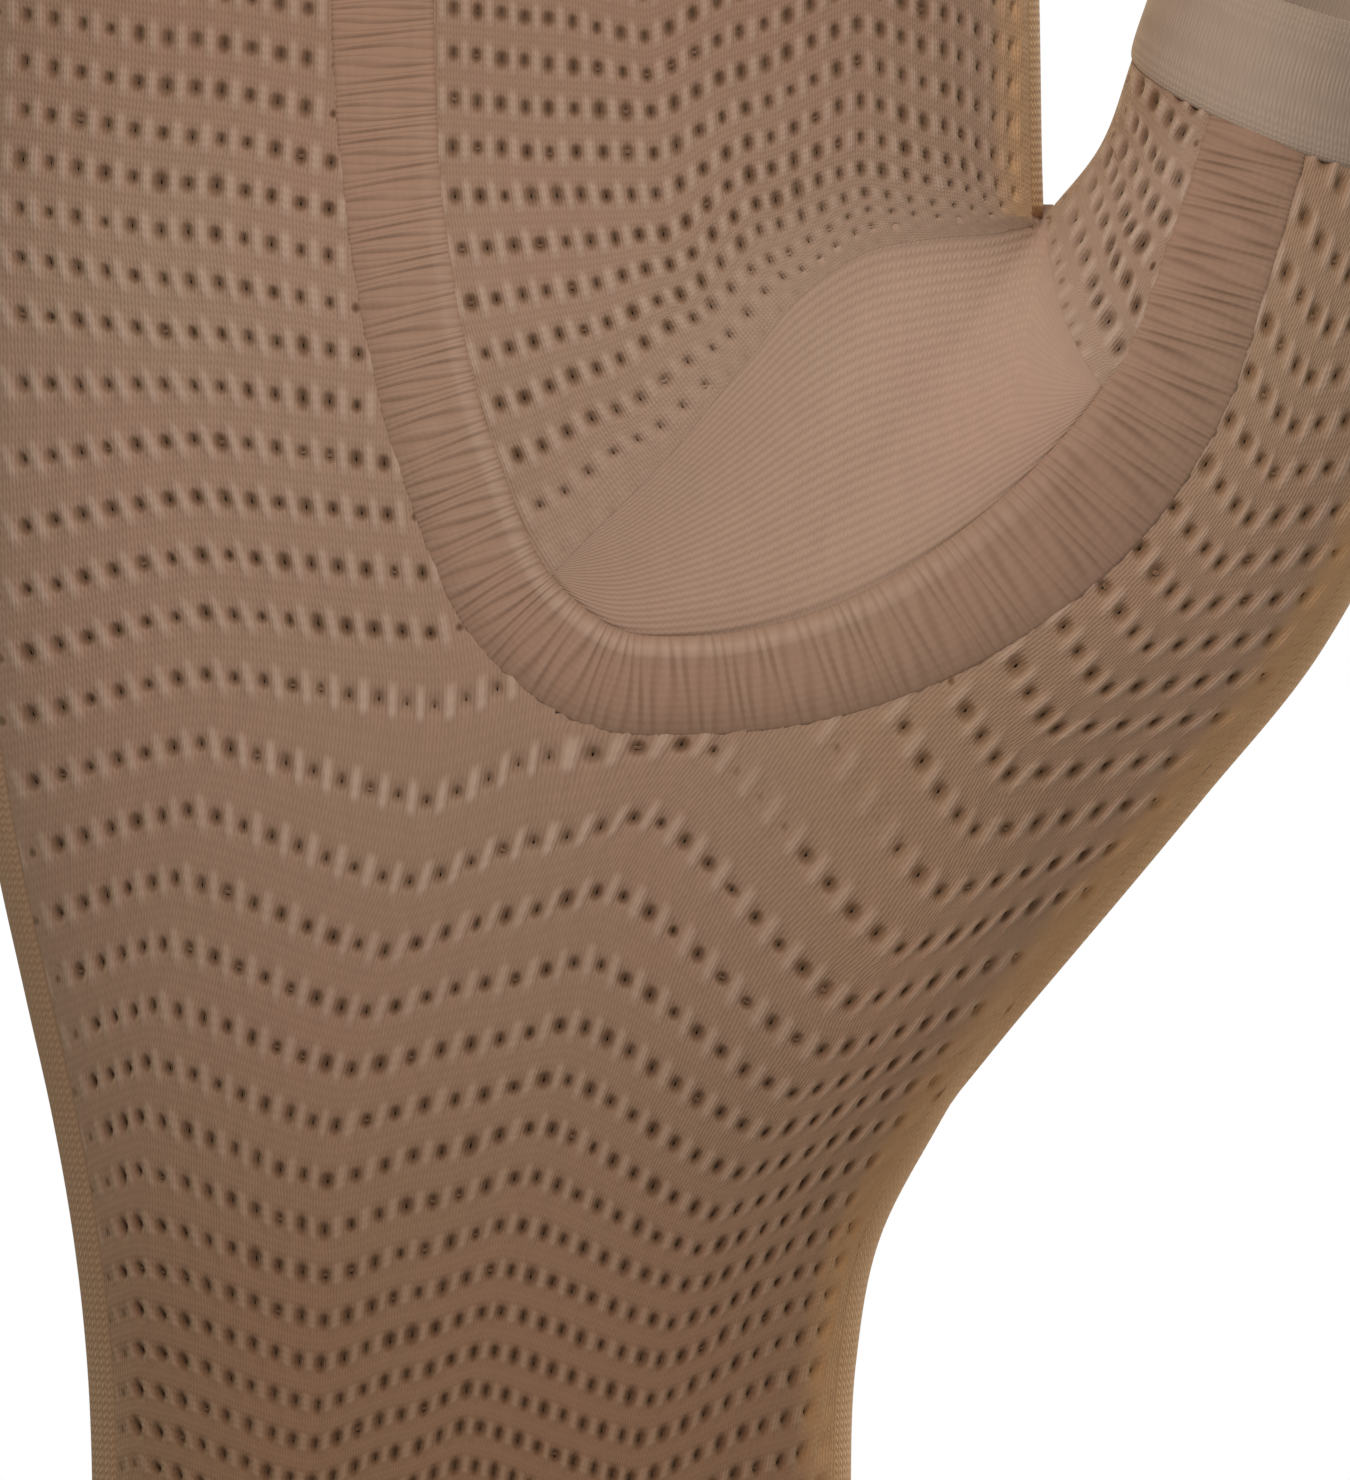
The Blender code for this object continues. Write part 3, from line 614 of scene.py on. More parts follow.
class Openwork:
    """The cells of a zone as growing lists: points with their stitch numbers, and quads."""

    def __init__(self, lattice, column, row, opened, lean, seed):
        """opened is 1 for a full eyelet and 0 for a closed cell; lean turns its wale."""
        self.lists = {name: [] for name in ("place", "stitch", "lift", "quad", "cell")}
        self.total = 0
        self.column, self.row = column, row
        chance = np.random.default_rng(seed)
        frames = cell_frames(lattice, column, row, lean)
        self.centre, self.next_column, self.next_row, self.across, self.down = frames
        size = (0.5 + 0.5 * opened) * chance.normal(1.0, 0.08, len(column))
        self.across = self.across * (size * chance.normal(1.0, 0.08, len(column)))[:, None]
        self.down = self.down * (size * chance.normal(1.0, 0.09, len(column)))[:, None]
        self.centre = self.centre + chance.normal(0, 0.04, self.centre.shape)
        border = self.add_borders(lattice)
        middle = self.add_middles(border)
        whole = np.flatnonzero(opened > 0.5)
        self.add_eyelets(middle, whole)
        self.add_closed(middle, np.flatnonzero(opened <= 0.5))
        self.add_threads(whole[chance.random(len(whole)) < THREAD_SHARE], chance)
        for name, parts in self.lists.items():
            setattr(self, name, np.concatenate(parts))

    def add(self, place, stitch, lift):
        """Adds points given as (cells, n, 2) arrays and returns their numbers, (cells, n)."""
        self.lists["place"].append(place.reshape(-1, 2))
        self.lists["stitch"].append(stitch.reshape(-1, 2))
        self.lists["lift"].append(np.broadcast_to(lift, place.shape[:2]).ravel())
        ids = self.total + np.arange(place.shape[0] * place.shape[1]).reshape(place.shape[:2])
        self.total += ids.size
        return ids

    def join(self, quads, cell):
        """Adds quads given as (cells, n, 4), with the number of the cell that owns each."""
        self.lists["quad"].append(quads.reshape(-1, 4))
        self.lists["cell"].append(np.repeat(cell, quads.shape[1]))

    def stitches(self, place, cell):
        """Stitch numbers of places in a cell: its own, plus the share of a step each way."""
        offset = place - self.centre[cell, None]
        steps = self.next_column[cell, None], self.next_row[cell, None]
        numbers = np.stack([self.column[cell], self.row[cell]], axis=1)[:, None]
        return numbers + in_frame(offset, *steps)

    def oval(self, wide, high, cell):
        """A ring of twelve points round the eyelet: cosine across and sine down the wale."""
        across, down = wide * self.across[cell, None], high * self.down[cell, None]
        return self.centre[cell, None] + CIRCLE[:, :1] * across + CIRCLE[:, 1:] * down

    def add_borders(self, lattice):
        """Twelve points round each cell, shared with its neighbours, at the height of the bars."""
        u = self.column[:, None] + CELL_BORDER[:, 0]
        v = self.row[:, None] + CELL_BORDER[:, 1]
        first, ids = shared_ids(u, v)
        u, v = u.ravel()[first], v.ravel()[first]
        place = np.stack(lattice.place(u, v), axis=-1)
        lift = bars(*np.broadcast_to(CELL_BORDER, (len(self.row), 12, 2)).reshape(-1, 2)[first].T)
        self.border_place = place
        self.add(place[:, None], np.stack([u, v], axis=-1)[:, None], lift[:, None])
        return ids

    def add_middles(self, border):
        """A second ring, part of the way from the border to the widest oval of the lip."""
        every = np.arange(len(self.row))
        place = self.border_place[border] * (1 - MIDDLE_SHARE)
        place = place + MIDDLE_SHARE * self.oval(*LIP[0][:2], every)
        stitch = self.stitches(place, every)
        lift = bars(stitch[..., 0] - self.column[:, None], stitch[..., 1] - self.row[:, None])
        middle = self.add(place, stitch, lift)
        self.join(strip_quads(border, middle), every)
        return middle

    def add_eyelets(self, middle, cell):
        """Ovals that shrink and dip, from the lip to the turned-in edge of the yarn."""
        outer = middle[cell]
        for wide, high, dip in LIP:
            place = self.oval(wide, high, cell)
            inner = self.add(place, self.stitches(place, cell), -dip)
            self.join(strip_quads(outer, inner), cell)
            outer = inner

    def add_closed(self, middle, cell):
        """Three points down the middle of a closed cell, joined to the halves of its ring."""
        stitch = np.stack([self.column[cell], self.row[cell]], axis=1)[:, None] + SPINE
        aside, down = self.next_column[cell, None], self.next_row[cell, None]
        steps = aside * SPINE[:, :1] + down * SPINE[:, 1:]
        spine = self.add(self.centre[cell, None] + steps, stitch, -CLOSED_DIP)
        right, left = middle[cell][:, [10, 11, 0, 1, 2]], middle[cell][:, [8, 7, 6, 5, 4]]
        mid = np.concatenate([middle[cell][:, 9:10], spine, middle[cell][:, 3:4]], axis=1)
        for one, two in ((left, mid), (mid, right)):
            self.join(np.stack([one[:, :-1], two[:, :-1], two[:, 1:], one[:, 1:]], axis=-1), cell)

    def add_threads(self, cell, chance):
        """A ribbon of four points by three over an eyelet, turned and moved a little by chance."""
        turn = chance.normal(0, 0.12, (len(cell), 1, 1))
        across, down = self.across[cell, None], self.down[cell, None]
        p, q = THREAD[:, :1], THREAD[:, 1:]
        q = q + turn * p + chance.normal(0, 0.12, turn.shape)
        place = self.centre[cell, None] + p * across + q * down
        ids = self.add(place, self.stitches(place, cell), -THREAD_DIP).reshape(-1, 4, 3)
        self.join(grid_quads(ids).reshape(len(cell), -1, 4)[..., ::-1], cell)
        self.thread_points = self.total - ids.size

    def from_eyelet(self):
        """Each corner's place against its own eyelet, in which the hole's edge is at 1. Threads
        lie at 0.9, in the hole's shade."""
        corner = self.place[self.quad] - self.centre[self.cell, None]
        spot = in_frame(corner, self.across[self.cell, None], self.down[self.cell, None])
        spot[self.quad[:, 0] >= self.thread_points] = (0.9, 0.0)
        return spot


print("a full eyelet takes", 2 * 12 * 4, "triangles, a closed cell", 2 * (12 + 8))

# %% [markdown]
# ## From arrays to pieces
#
# Every piece becomes a mesh in the same way: its points in metres, its quads, a UV map that
# counts stitches, and a few numbers on each point that the yarn's material reads. The object
# stays at the origin, rides on the frame's one body and stands for its plain solid.

# %% Making a piece
ROOT = "root"
SMALLEST = 1e-5  # quads with less than this doubled area, in square millimetres, are dropped
pieces = {}


def facing_out(points, quads):
    """The quads, all turned over if they face inwards. The sum of each face's area vector times
    its distance from the middle surface, both along y, is the volume inside, so it is positive."""
    corner = points[quads]
    normal = np.cross(corner[:, 2] - corner[:, 0], corner[:, 3] - corner[:, 1])
    centre = corner.mean(axis=1)
    from_middle = centre[:, 1] - middle_y(centre[:, 0])
    return quads if (normal[:, 1] * from_middle).sum() > 0 else quads[:, ::-1]


def make_piece(name, points, quads, uv, numbers, node, thickness=0.0, eyelets=None):
    """A mesh from points in millimetres, with its stitches in uv, that stands for a node."""
    mesh = bpy.data.meshes.new(name)
    mesh.from_pydata(points * MM, [], quads)
    loops = np.empty(len(mesh.loops), int)
    mesh.loops.foreach_get("vertex_index", loops)
    mesh.uv_layers.new(name="stitches").data.foreach_set("uv", uv[loops].astype(np.float32).ravel())
    if eyelets is not None:
        layer = mesh.uv_layers.new(name="eyelet")
        layer.data.foreach_set("uv", eyelets.astype(np.float32).ravel())
    for key, values in numbers.items():
        layer = mesh.attributes.new(key, "FLOAT", "POINT")
        layer.data.foreach_set("value", values.astype(np.float32))
    mesh.shade_smooth()
    piece = bpy.data.objects.new(name, mesh)
    bpy.context.collection.objects.link(piece)
    if thickness:
        wall = piece.modifiers.new("cloth thickness", "SOLIDIFY")
        wall.thickness = thickness * MM
        wall.offset = -1.0
    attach(piece, ROOT)
    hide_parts(node)
    pieces[name] = piece
    print("%-20s %6d quads, %4.0f cm2" % (name, len(quads), face_sizes(points, quads).sum() / 200))
    return piece


def face_sizes(points, quads):
    """Each quad's doubled area, from the cross product of its diagonals."""
    across = points[quads[:, 2]] - points[quads[:, 0]], points[quads[:, 3]] - points[quads[:, 1]]
    return np.linalg.norm(np.cross(*across), axis=1)


def used_only(points, quads, *values):
    """Drops the quads that have shrunk to nothing, and the points that no quad uses."""
    quads = quads[face_sizes(points, quads) > SMALLEST]
    used, place = np.unique(quads, return_inverse=True)
    return (points[used], place.reshape(quads.shape), *(v[used] for v in values))


# %% [markdown]
# ## The openwork zones
#
# Three zones share the cells: the back of the hand outside the band, the panel over the fingers
# inside it, and the back of the thumb. Each tucks a little under the raised band and the hems. At
# the plain rims and at the web, which it laps over, its border is drawn onto the curve between
# the two, so that it ends in a clean line.

# %% Filling a zone with openwork
TUCK, TUCK_DEPTH = 1.0, 0.28  # how far the openwork runs on under the band and hems, how deep
OVERLAP = 0.5  # how far it runs on over the plain rims and the web
OVER_RIM, OVER_WEB = 0.03, -0.055  # its edge's height there, just above the plain knit's own
EDGE_FADE = 0.9  # over this distance the bars flatten towards such an edge
ROW_GAP = 1.8  # bars are lower where rows come closer than this
OUTLINE_DEPTH = 0.4  # no openwork lies beyond where the form is only this deep
STITCHES = np.array([4.0, 6.0])  # wales in a column of eyelets, courses in a row


def drawn_onto(curve, place, side, shift):
    """Points beyond a curve, moved onto it: side is +1 where the zone is to its left."""
    away, share = from_curve(curve, place[:, 0], place[:, 1])
    short = np.minimum(side * away + shift, 0.0)
    k = np.rint(share * (len(curve) - 1)).astype(int)
    return place - (side * short)[:, None] * left_normals(curve)[k], side * away


def off_hems(x, z):
    """How far a point is from the nearest hem's seam, positive on the glove's side of it."""
    lean, _ = thumb_place(x, z)
    from_thumb_end = np.where(x > FORK_X, np.radians(lean - THUMB_SEAM_LEAN) * ARC_RADIUS, np.inf)
    from_fingers = np.where(x > FORK_X + 1, np.inf, FINGER_END - FINGER_HEM - z)
    return np.minimum(np.minimum(from_thumb_end, from_fingers), z - FOREARM_END - FOREARM_HEM)


def upright(column, row):
    """The lean of wales that follow the lattice: none."""
    return 0.0 * column


def uneven(column, row):
    """A different number from 0.75 to 1 for every cell: a sine's far decimals."""
    return 0.75 + 0.25 * np.mod(np.sin(12.9898 * column + 78.233 * row) * 43758.5453, 1.0)


def onto_rims(place, rims):
    """Points drawn onto the borders that the zone laps over, how far each one then lies inside
    the nearest, and the height of the zone's edge there."""
    inside, height = np.full(len(place), np.inf), np.zeros(len(place))
    for curve, side, edge_height in rims:
        place, away = drawn_onto(curve, place, side, OVERLAP)
        height = np.where(away < inside, edge_height, height)
        inside = np.minimum(inside, away)
    return place, inside, height


# %% What the yarn of the openwork reads
PALE_BY_WEB, PALE_REACH = 0.22, 7.0  # paler yarn within some millimetres of the web's top
GOLDEN_RIM, GOLDEN_REACH = 0.9, 2.8  # golden yarn and a painted golden sheen within some millimetres of the plain rims
PAINTED_SHEEN_THUMB = 0.14  # a touch of painted golden sheen where the cloth turns away below the thumb


def thumb_side(x):
    """From 0 over the middle of the hand to 1 below the root of the thumb: a step in x."""
    return ease((x - 18) / 14)


def yarn_numbers(place, stitch, marks):
    """How clearly bars and eyelets show at each point, how pale its yarn is, and how much
    golden yarn and painted golden sheen it has.
    """
    bar, hole = (mark(*place.T) for mark in marks)
    pale = PALE_BY_WEB * ease(1 - from_web_top(*place.T) / PALE_REACH)
    pale = pale * (inside_band(*place.T) > 0)
    from_fork = np.where(place[:, 1] > FORK_Z, from_curve(EDGE_FORK, *place.T)[0], np.inf)
    from_rim = np.minimum(from_curve(EDGE_RIGHT, *place.T)[0], np.abs(from_fork))
    golden = GOLDEN_RIM * ease(1 - np.abs(from_rim) / GOLDEN_REACH) * golden_and_sheen_share(*place.T)
    # painted golden sheen where the cloth turns away below the thumb
    painted_sheen = PAINTED_SHEEN_THUMB * thumb_side(place[:, 0]) * (outside_band(*place.T) > 0)
    hole = hole * uneven(*np.rint(stitch).T)
    return {"bar_mark": bar, "hole_mark": hole, "pale": pale, "golden": np.maximum(golden, painted_sheen)}


# %% A zone of openwork as a piece
def knit_zone(name, node, lattice, cells, opened, lean, seed, borders, rims, marks):
    """A zone's piece. borders(x, z) is positive inside it; rims are the borders it laps over,
    each with the side that the zone lies on and the height of the zone's edge there;
    marks are two functions of (x, z), from 0 to 1: how clearly bars and eyelets show."""
    knit = Openwork(lattice, *cells, opened, lean(*cells), seed)
    knit.place, inside, edge_height = onto_rims(knit.place, rims)
    place = knit.place
    reach = np.minimum(borders(*place.T), off_hems(*place.T))
    tucked, rimmed = ease(-reach / TUCK + 0.2), ease(1 - (inside + OVERLAP) / EDGE_FADE)
    above, below = (np.stack(lattice.place(*(knit.stitch + [0, dv]).T)) for dv in (-0.5, 0.5))
    row_gap = np.hypot(*(above - below))
    lift = knit.lift * (1 - np.maximum(tucked, rimmed)) * np.minimum(row_gap / ROW_GAP, 1)
    points = on_form(*place.T, lift - TUCK_DEPTH * tucked + edge_height * rimmed)
    kept = (inside[knit.quad].max(axis=1) > -OVERLAP) & (reach[knit.quad].mean(axis=1) > -TUCK)
    kept &= (form_depth(*place.T, FRONT) > OUTLINE_DEPTH)[knit.quad].all(axis=1)
    kept &= face_sizes(points, knit.quad) > SMALLEST
    quads, eyelets = knit.quad[kept], knit.from_eyelet()[kept]
    turned = facing_out(points, quads)
    if turned[0, 0] != quads[0, 0]:
        eyelets = eyelets[:, ::-1]
    used, ids = np.unique(turned, return_inverse=True)
    ids = ids.reshape(turned.shape)
    numbers = {"row_gap": row_gap, "shade": 0.08 * tucked, "lean": lean(*knit.stitch.T)}
    numbers.update(yarn_numbers(place, knit.stitch, marks))
    numbers = {key: values[used] for key, values in numbers.items()}
    uv = knit.stitch * (1, -1) * STITCHES
    make_piece(name, points[used], ids, uv[used], numbers, node, eyelets=eyelets)


def block(columns, rows):
    """Column and row numbers of all cells of a block of the lattice."""
    column, row = np.meshgrid(np.arange(*columns), np.arange(*rows))
    return column.ravel().astype(float), row.ravel().astype(float)


# %% The back of the hand
CLOSED = ((24.6, 50.9), (8.2, 4.0), -29.0)  # centre, half sizes and turn of the closed patch
DRAWN = ((-3.0, 51.0), (16.0, 8.5), -8.0)  # and of the patch where bars crowd the eyelets
HIDDEN = ((1.0, 55.5), (8.0, 4.0), 0.0)  # and of its part where they all but hide them
LEFT_LEAN = 0.75  # columns that a wale moves to the right down a row near the little finger


def in_patch(x, z, patch):
    """1 in the middle of a turned ellipse and 0 outside it, with a soft edge."""
    (cx, cz), (half_x, half_z), turn = patch
    c, s = math.cos(math.radians(turn)), math.sin(math.radians(turn))
    dx, dz = x - cx, z - cz
    far = np.hypot((c * dx + s * dz) / half_x, (c * dz - s * dx) / half_z)
    return 1 - ease((far - 0.6) / 0.6)


def left_lean(column, row):
    """The wales by the little finger lean to the right, from the knuckles down."""
    return LEFT_LEAN * ease((7 - column) / 8) * ease((row - 3) / 4)


def hand_bars(x, z):
    """How clearly bars show: less in the closed patch, more where they crowd the eyelets."""
    return 1 - 0.4 * in_patch(x, z, CLOSED) + 0.5 * in_patch(x, z, DRAWN)


def hand_holes(x, z):
    """How clearly eyelets show: hardly in the closed patch, and less where bars crowd them."""
    closed, drawn, hidden = (in_patch(x, z, patch) for patch in (CLOSED, DRAWN, HIDDEN))
    return np.maximum(1 - 0.85 * closed - 0.35 * drawn - 0.45 * hidden, 0.1)


def main_zone(name, rows, seed):
    """Cells of the back of the hand between two rows, outside the band and off the rims."""
    column, row = block((-12, 37), rows)
    x, z = MAIN.place(column, row)
    outside, left = outside_band(x, z), -from_curve(EDGE_LEFT, x, z)[0]
    right = from_curve(EDGE_RIGHT, x, z)[0]
    near = (outside > -3.5) & (left > -4) & (right > -4) & (off_hems(x, z) > -3)
    other_arm = (row < 12) & (((column >= 12) & (x < 28)) | ((column < 12) & (x > 12)))
    kept = near & ~other_arm  # beside the U, rows run on across it and are cut at either arm
    column, row, x, z = (a[kept] for a in (column, row, x, z))
    outside, left, right = (a[kept] for a in (outside, left, right))
    whole = (outside > 0.3) & (left > 0.8) & (right > 0.3)
    opened = 1 - in_patch(x, z, CLOSED) - 0.3 * in_patch(x, z, HIDDEN) + 0.35 * thumb_side(x)
    opened = np.where(whole & (in_patch(x, z, CLOSED) < 0.5), opened, 0.0)
    rims = ((EDGE_LEFT, -1.0, OVER_RIM), (EDGE_RIGHT, 1.0, OVER_RIM))
    cells, marks = (column, row), (hand_bars, hand_holes)
    knit_zone(name, "main_mesh", MAIN, cells, opened, left_lean, seed, outside_band, rims, marks)


for name, rows, seed in (
    ("finger_root_openwork", (-6, 5), 3),
    ("hand_openwork", (5, 16), 4),
    ("wrist_openwork", (16, 50), 5),
):
    main_zone(name, rows, seed)


# %% The panel over the fingers
def above_web(x, z):
    """How far a point lies on the fingers' side of the web's upper border."""
    return from_curve(WEB_EDGE_LEFT, x, z)[0]


def finger_marks(x, z):
    """Bars and eyelets fade towards the web, over a shorter way on the thumb's side."""
    return 0.25 + 0.75 * ease(above_web(x, z) / (7.5 - 3 * ease((x - 24) / 5)))


def inner_zone(seed):
    """Cells inside the band, on the fingers' side of the web."""
    column, row = block((-2, 29), (-6, 14))
    x, z = INNER.place(column, row)
    inside, above, fork = inside_band(x, z), above_web(x, z), from_curve(EDGE_FORK, x, z)[0]
    near = (inside > -3) & (above > -3) & (fork > -3) & (off_hems(x, z) > -3)
    column, row, inside, above, fork = (a[near] for a in (column, row, inside, above, fork))
    gap = np.hypot(*np.subtract(INNER.place(column, row + 0.5), INNER.place(column, row - 0.5)))
    whole = (inside > 0.35) & (above > 0.4) & (fork > 0.5) & (gap > 0.85)
    opened = np.where(whole, 0.55 + 0.45 * ease(above / 6), 0.0)
    rims = ((EDGE_FORK, 1.0, OVER_RIM), (WEB_EDGE_LEFT, 1.0, OVER_WEB))
    form = INNER, (column, row), opened, upright, seed
    knit_zone("finger_openwork", "inner_mesh", *form, inside_band, rims, (finger_marks,) * 2)


inner_zone(6)


# %% The back of the thumb
def beyond_web(x, z):
    """How far a point lies on the thumb's side of the web's upper border."""
    return from_curve(WEB_EDGE_RIGHT, x, z)[0]


def thumb_marks(x, z):
    """Bars and eyelets fade a little towards the web."""
    return 0.8 + 0.4 * ease(beyond_web(x, z) / 5)


def sleeve_zone(seed):
    """Cells between the web, the band and the thumb's inner edge."""
    column, row = block((-5, 13), (-7, 12))
    x, z = SLEEVE.place(column, row)
    inside, beyond, inner = inside_band(x, z), beyond_web(x, z), -from_curve(EDGE_THUMB, x, z)[0]
    near = (inside > -3) & (beyond > -3) & (inner > -3) & (x > 38) & (off_hems(x, z) > -3)
    column, row, inside, beyond, inner = (a[near] for a in (column, row, inside, beyond, inner))
    whole = (inside > 0.35) & (beyond > 0.3) & (inner > 0.2)
    opened = np.where(whole, 1.1 + 0.5 * ease(beyond / 6), 0.0)
    rims = ((EDGE_THUMB, -1.0, OVER_RIM), (WEB_EDGE_RIGHT, 1.0, OVER_WEB))
    form = SLEEVE, (column, row), opened, upright, seed
    knit_zone("thumb_openwork", "thumb_mesh", *form, inside_band, rims, (thumb_marks,) * 2)


sleeve_zone(7)

# %% [markdown]
# ## The ribbed band
#
# The band is knitted in ribs that run across it, a little thicker than the openwork, and its
# inner edge rolls up into a welt that catches the light. A bump map alone would leave its edge
# flat, so the ribs and the welt are modelled: a profile is carried along the band's path, and
# each rib is one wave of a cosine along it.

# %% The band
RIB, RIB_HEIGHT = 0.95, 0.075  # length of one rib along the band, and half its height
BAND_CROWN, BAND_SUNK = 0.8, 0.22  # height of its middle over its edges, and their depth
BOTTOM, BOTTOM_HALF = 0.47, 0.34  # the part of the path where the U turns round below the web
THUMB_ARM, ARM_FADE = 0.6, 0.2  # and where its arm by the thumb starts
WELT, WELT_HALF = 0.68, 0.17  # place and half width of the welt, where 1 is the inner edge
BAND_COURSES = 13  # courses across it
BAND_END = -1.2  # how far the band runs on under the hems


def band_surface(along_steps, across_steps):
    """Points at (s, t): s along the path, t from -1, the outer edge, to 1, the inner one. Ribs
    are a cosine of the length along the band, whose phase and strength wander as slow sines."""
    length = np.hypot(*np.diff(BAND[:, :2], axis=0).T).sum()
    s = np.linspace(0, 1, along_steps)[:, None]
    t = np.linspace(-1, 1, across_steps)[None, :]
    knots = np.linspace(0, 1, len(BAND))
    normals = left_normals(BAND)
    cx, cz, half = (np.interp(s, knots, BAND[:, c]) for c in (0, 1, 2))
    nx, nz = (np.interp(s, knots, normals[:, c]) for c in (0, 1))
    x, z = cx + nx * t * half / 2, cz + nz * t * half / 2
    wander = 1.5 * np.sin(s * length * 0.7) + 1.1 * np.sin(s * length * 1.9 + 2 * t)
    rib = np.cos(2 * np.pi * s * length / RIB + wander)
    strength = 0.6 + 0.4 * np.sin(s * length * 1.37 + 1.0) * np.sin(s * length * 0.41 + 3 * t)
    bottom = ease(1 - np.abs(s - BOTTOM) / BOTTOM_HALF)
    raised = 0.25 + 0.75 * bottom
    welt = (0.04 + 0.3 * bottom) * np.exp(-(((t - WELT) / WELT_HALF) ** 2))
    crown = BAND_CROWN * raised * (1 - np.abs(t) ** 2.2) - BAND_SUNK * (0.3 + 0.7 * raised)
    crown = crown + 0.12 * (1 - raised) * (1 - t**8)
    lift = crown + welt + RIB_HEIGHT * rib * strength * (1 - t**6)
    under = ease(1 - off_hems(x, z) / 2.0)
    lift = lift * (1 - under) - 0.15 * under
    ribs = s * length / RIB + wander / (2 * np.pi)
    uv = np.stack(np.broadcast_arrays(ribs, (t + 1) * BAND_COURSES / 2), axis=-1)
    numbers = band_numbers(s, t, bottom, rib, strength)
    numbers = {key: np.broadcast_to(value, x.shape).ravel() for key, value in numbers.items()}
    return on_form(x, z, lift), uv, numbers


def band_numbers(s, t, bottom, rib, strength):
    """Painted shade in the grooves and towards the outer edge, and a little over the thumb's arm;
    painted highlights on the welt and on the crests of the ribs.
    """
    thumb_arm = ease((s - THUMB_ARM) / ARM_FADE)
    shade = (0.24 + 0.1 * bottom + 0.4 * thumb_arm) * (0.5 - 0.5 * rib) * strength * (1 - t**6)
    shade = shade + 0.2 * bottom * ease((-t - 0.3) / 0.7) + 0.05 * thumb_arm
    # painted highlights: along the welt, and on the crests of the ribs near the bottom
    pale = 0.5 * bottom * np.exp(-(((t - 0.72) / 0.16) ** 2))
    return {"shade": shade, "pale": pale + 0.26 * bottom * (0.5 + 0.5 * rib) * strength}


ALONG, ACROSS = 1300, 19  # points along the band and across it
points, uv, numbers = band_surface(ALONG, ACROSS)
points = points.reshape(-1, 3)
quads = grid_quads(np.arange(ALONG * ACROSS).reshape(ALONG, ACROSS))
ends = off_hems(points[:, 0], points[:, 2]) > BAND_END
quads = facing_out(points, quads[ends[quads].all(axis=1)])
points, quads, uv, *values = used_only(points, quads, uv.reshape(-1, 2), *numbers.values())
numbers = dict(zip(numbers, values))
make_piece("ribbed_band", points, quads, uv, numbers, "u_band", 0.9)

# %% [markdown]
# ## The web
#
# The web between forefinger and thumb is plain, fine knitting. Its wales stand on the band's
# inner edge and fan out to the openwork above, so the surface is ruled: each wale runs straight,
# seen from the front, from a point of the band's edge to a point of the upper border.


# %% The web
WEB_TUCK = 0.9  # how far the web runs on under the band and under the openwork
WEB_LOW, WEB_SUNK = 0.08, 0.5  # its depth below the form, and how much deeper it is at the band
CORNER = 0.74  # share of its wales that end on the fingers' side of its topmost corner
WEB_WALES, WEB_COURSES = 92, 34


def web_surface(wales, courses):
    """Points at (a, b): a along the band's inner edge, b from there to the upper border. The
    surface lies just below the openwork that laps over it, and sinks where it meets the band."""
    knots = np.linspace(0, 1, len(BAND))
    inner_edge = BAND[:, :2] + left_normals(BAND) * (BAND[:, 2:] / 2 - WEB_TUCK)
    upper = np.concatenate([WEB_EDGE_LEFT, WEB_EDGE_RIGHT])
    upper = upper[inside_band(*upper.T) > -WEB_TUCK]
    start = np.hypot(*(inner_edge - upper[0]).T).argmin()
    end = np.hypot(*(inner_edge - upper[-1]).T).argmin()
    a = np.linspace(0, 1, wales)
    foot = knots[start] + a * (knots[end] - knots[start])
    low = np.stack([np.interp(foot, knots, inner_edge[:, c]) for c in (0, 1)])
    run = np.concatenate([[0], np.cumsum(np.hypot(*np.diff(upper, axis=0).T))])
    turn = run[np.hypot(*(upper - WEB_EDGE_RIGHT[0]).T).argmin()]
    past = (a - CORNER) / (1 - CORNER)
    at = np.where(a < CORNER, a / CORNER * turn, turn + past * (run[-1] - turn))
    high = np.stack([np.interp(at, run, upper[:, c]) for c in (0, 1)])
    under = WEB_TUCK * np.clip(a * 30, 0, 1) * np.clip((1 - a) * 30, 0, 1)
    high = high + under * unit((high - low).T).T  # it runs on under the openwork
    b = np.linspace(0, 1, courses)[:, None, None]
    x, z = np.moveaxis(low.T * (1 - b) + high.T * b, -1, 0)
    sunk = WEB_SUNK * ease(0.35 - inside_band(x, z) / WEB_TUCK)
    return x, z, -WEB_LOW - sunk, a, b[..., 0]


def web_shade(x, z):
    """Shade below the openwork, further down at the left, along the band, and to the left."""
    shade = 0.3 * ease(1 - from_web_top(x, z) / (10 - 7.5 * ease((x - 24) / 8)))
    shade = np.maximum(shade, 0.22 * ease(1 - inside_band(x, z) / 3.0))
    return shade + 0.12 * ease((30 - x) / 24)


ALONG, ACROSS = 220, 60  # points along the band's edge, and from there up
x, z, lift, a, b = web_surface(ALONG, ACROSS)
points, shade = on_form(x, z, lift).reshape(-1, 3), web_shade(x, z).ravel()
uv = np.stack(np.broadcast_arrays(a * WEB_WALES, b * WEB_COURSES), axis=-1).reshape(-1, 2)
quads = facing_out(points, grid_quads(np.arange(x.size).reshape(x.shape)))
points, quads, uv, shade = used_only(points, quads, uv, shade)
make_piece("web", points, quads, uv, {"shade": shade}, "web_gusset", 0.8)

# %% [markdown]
# ## The palm side
#
# The palm is plain knitting whose wales run the length of the glove. It comes round both edges
# as a narrow rim, which is all of it that shows from the front. The sheet is built ring by ring
# in three parts that share the ring through the fork: below it, the hand, and the thumb.


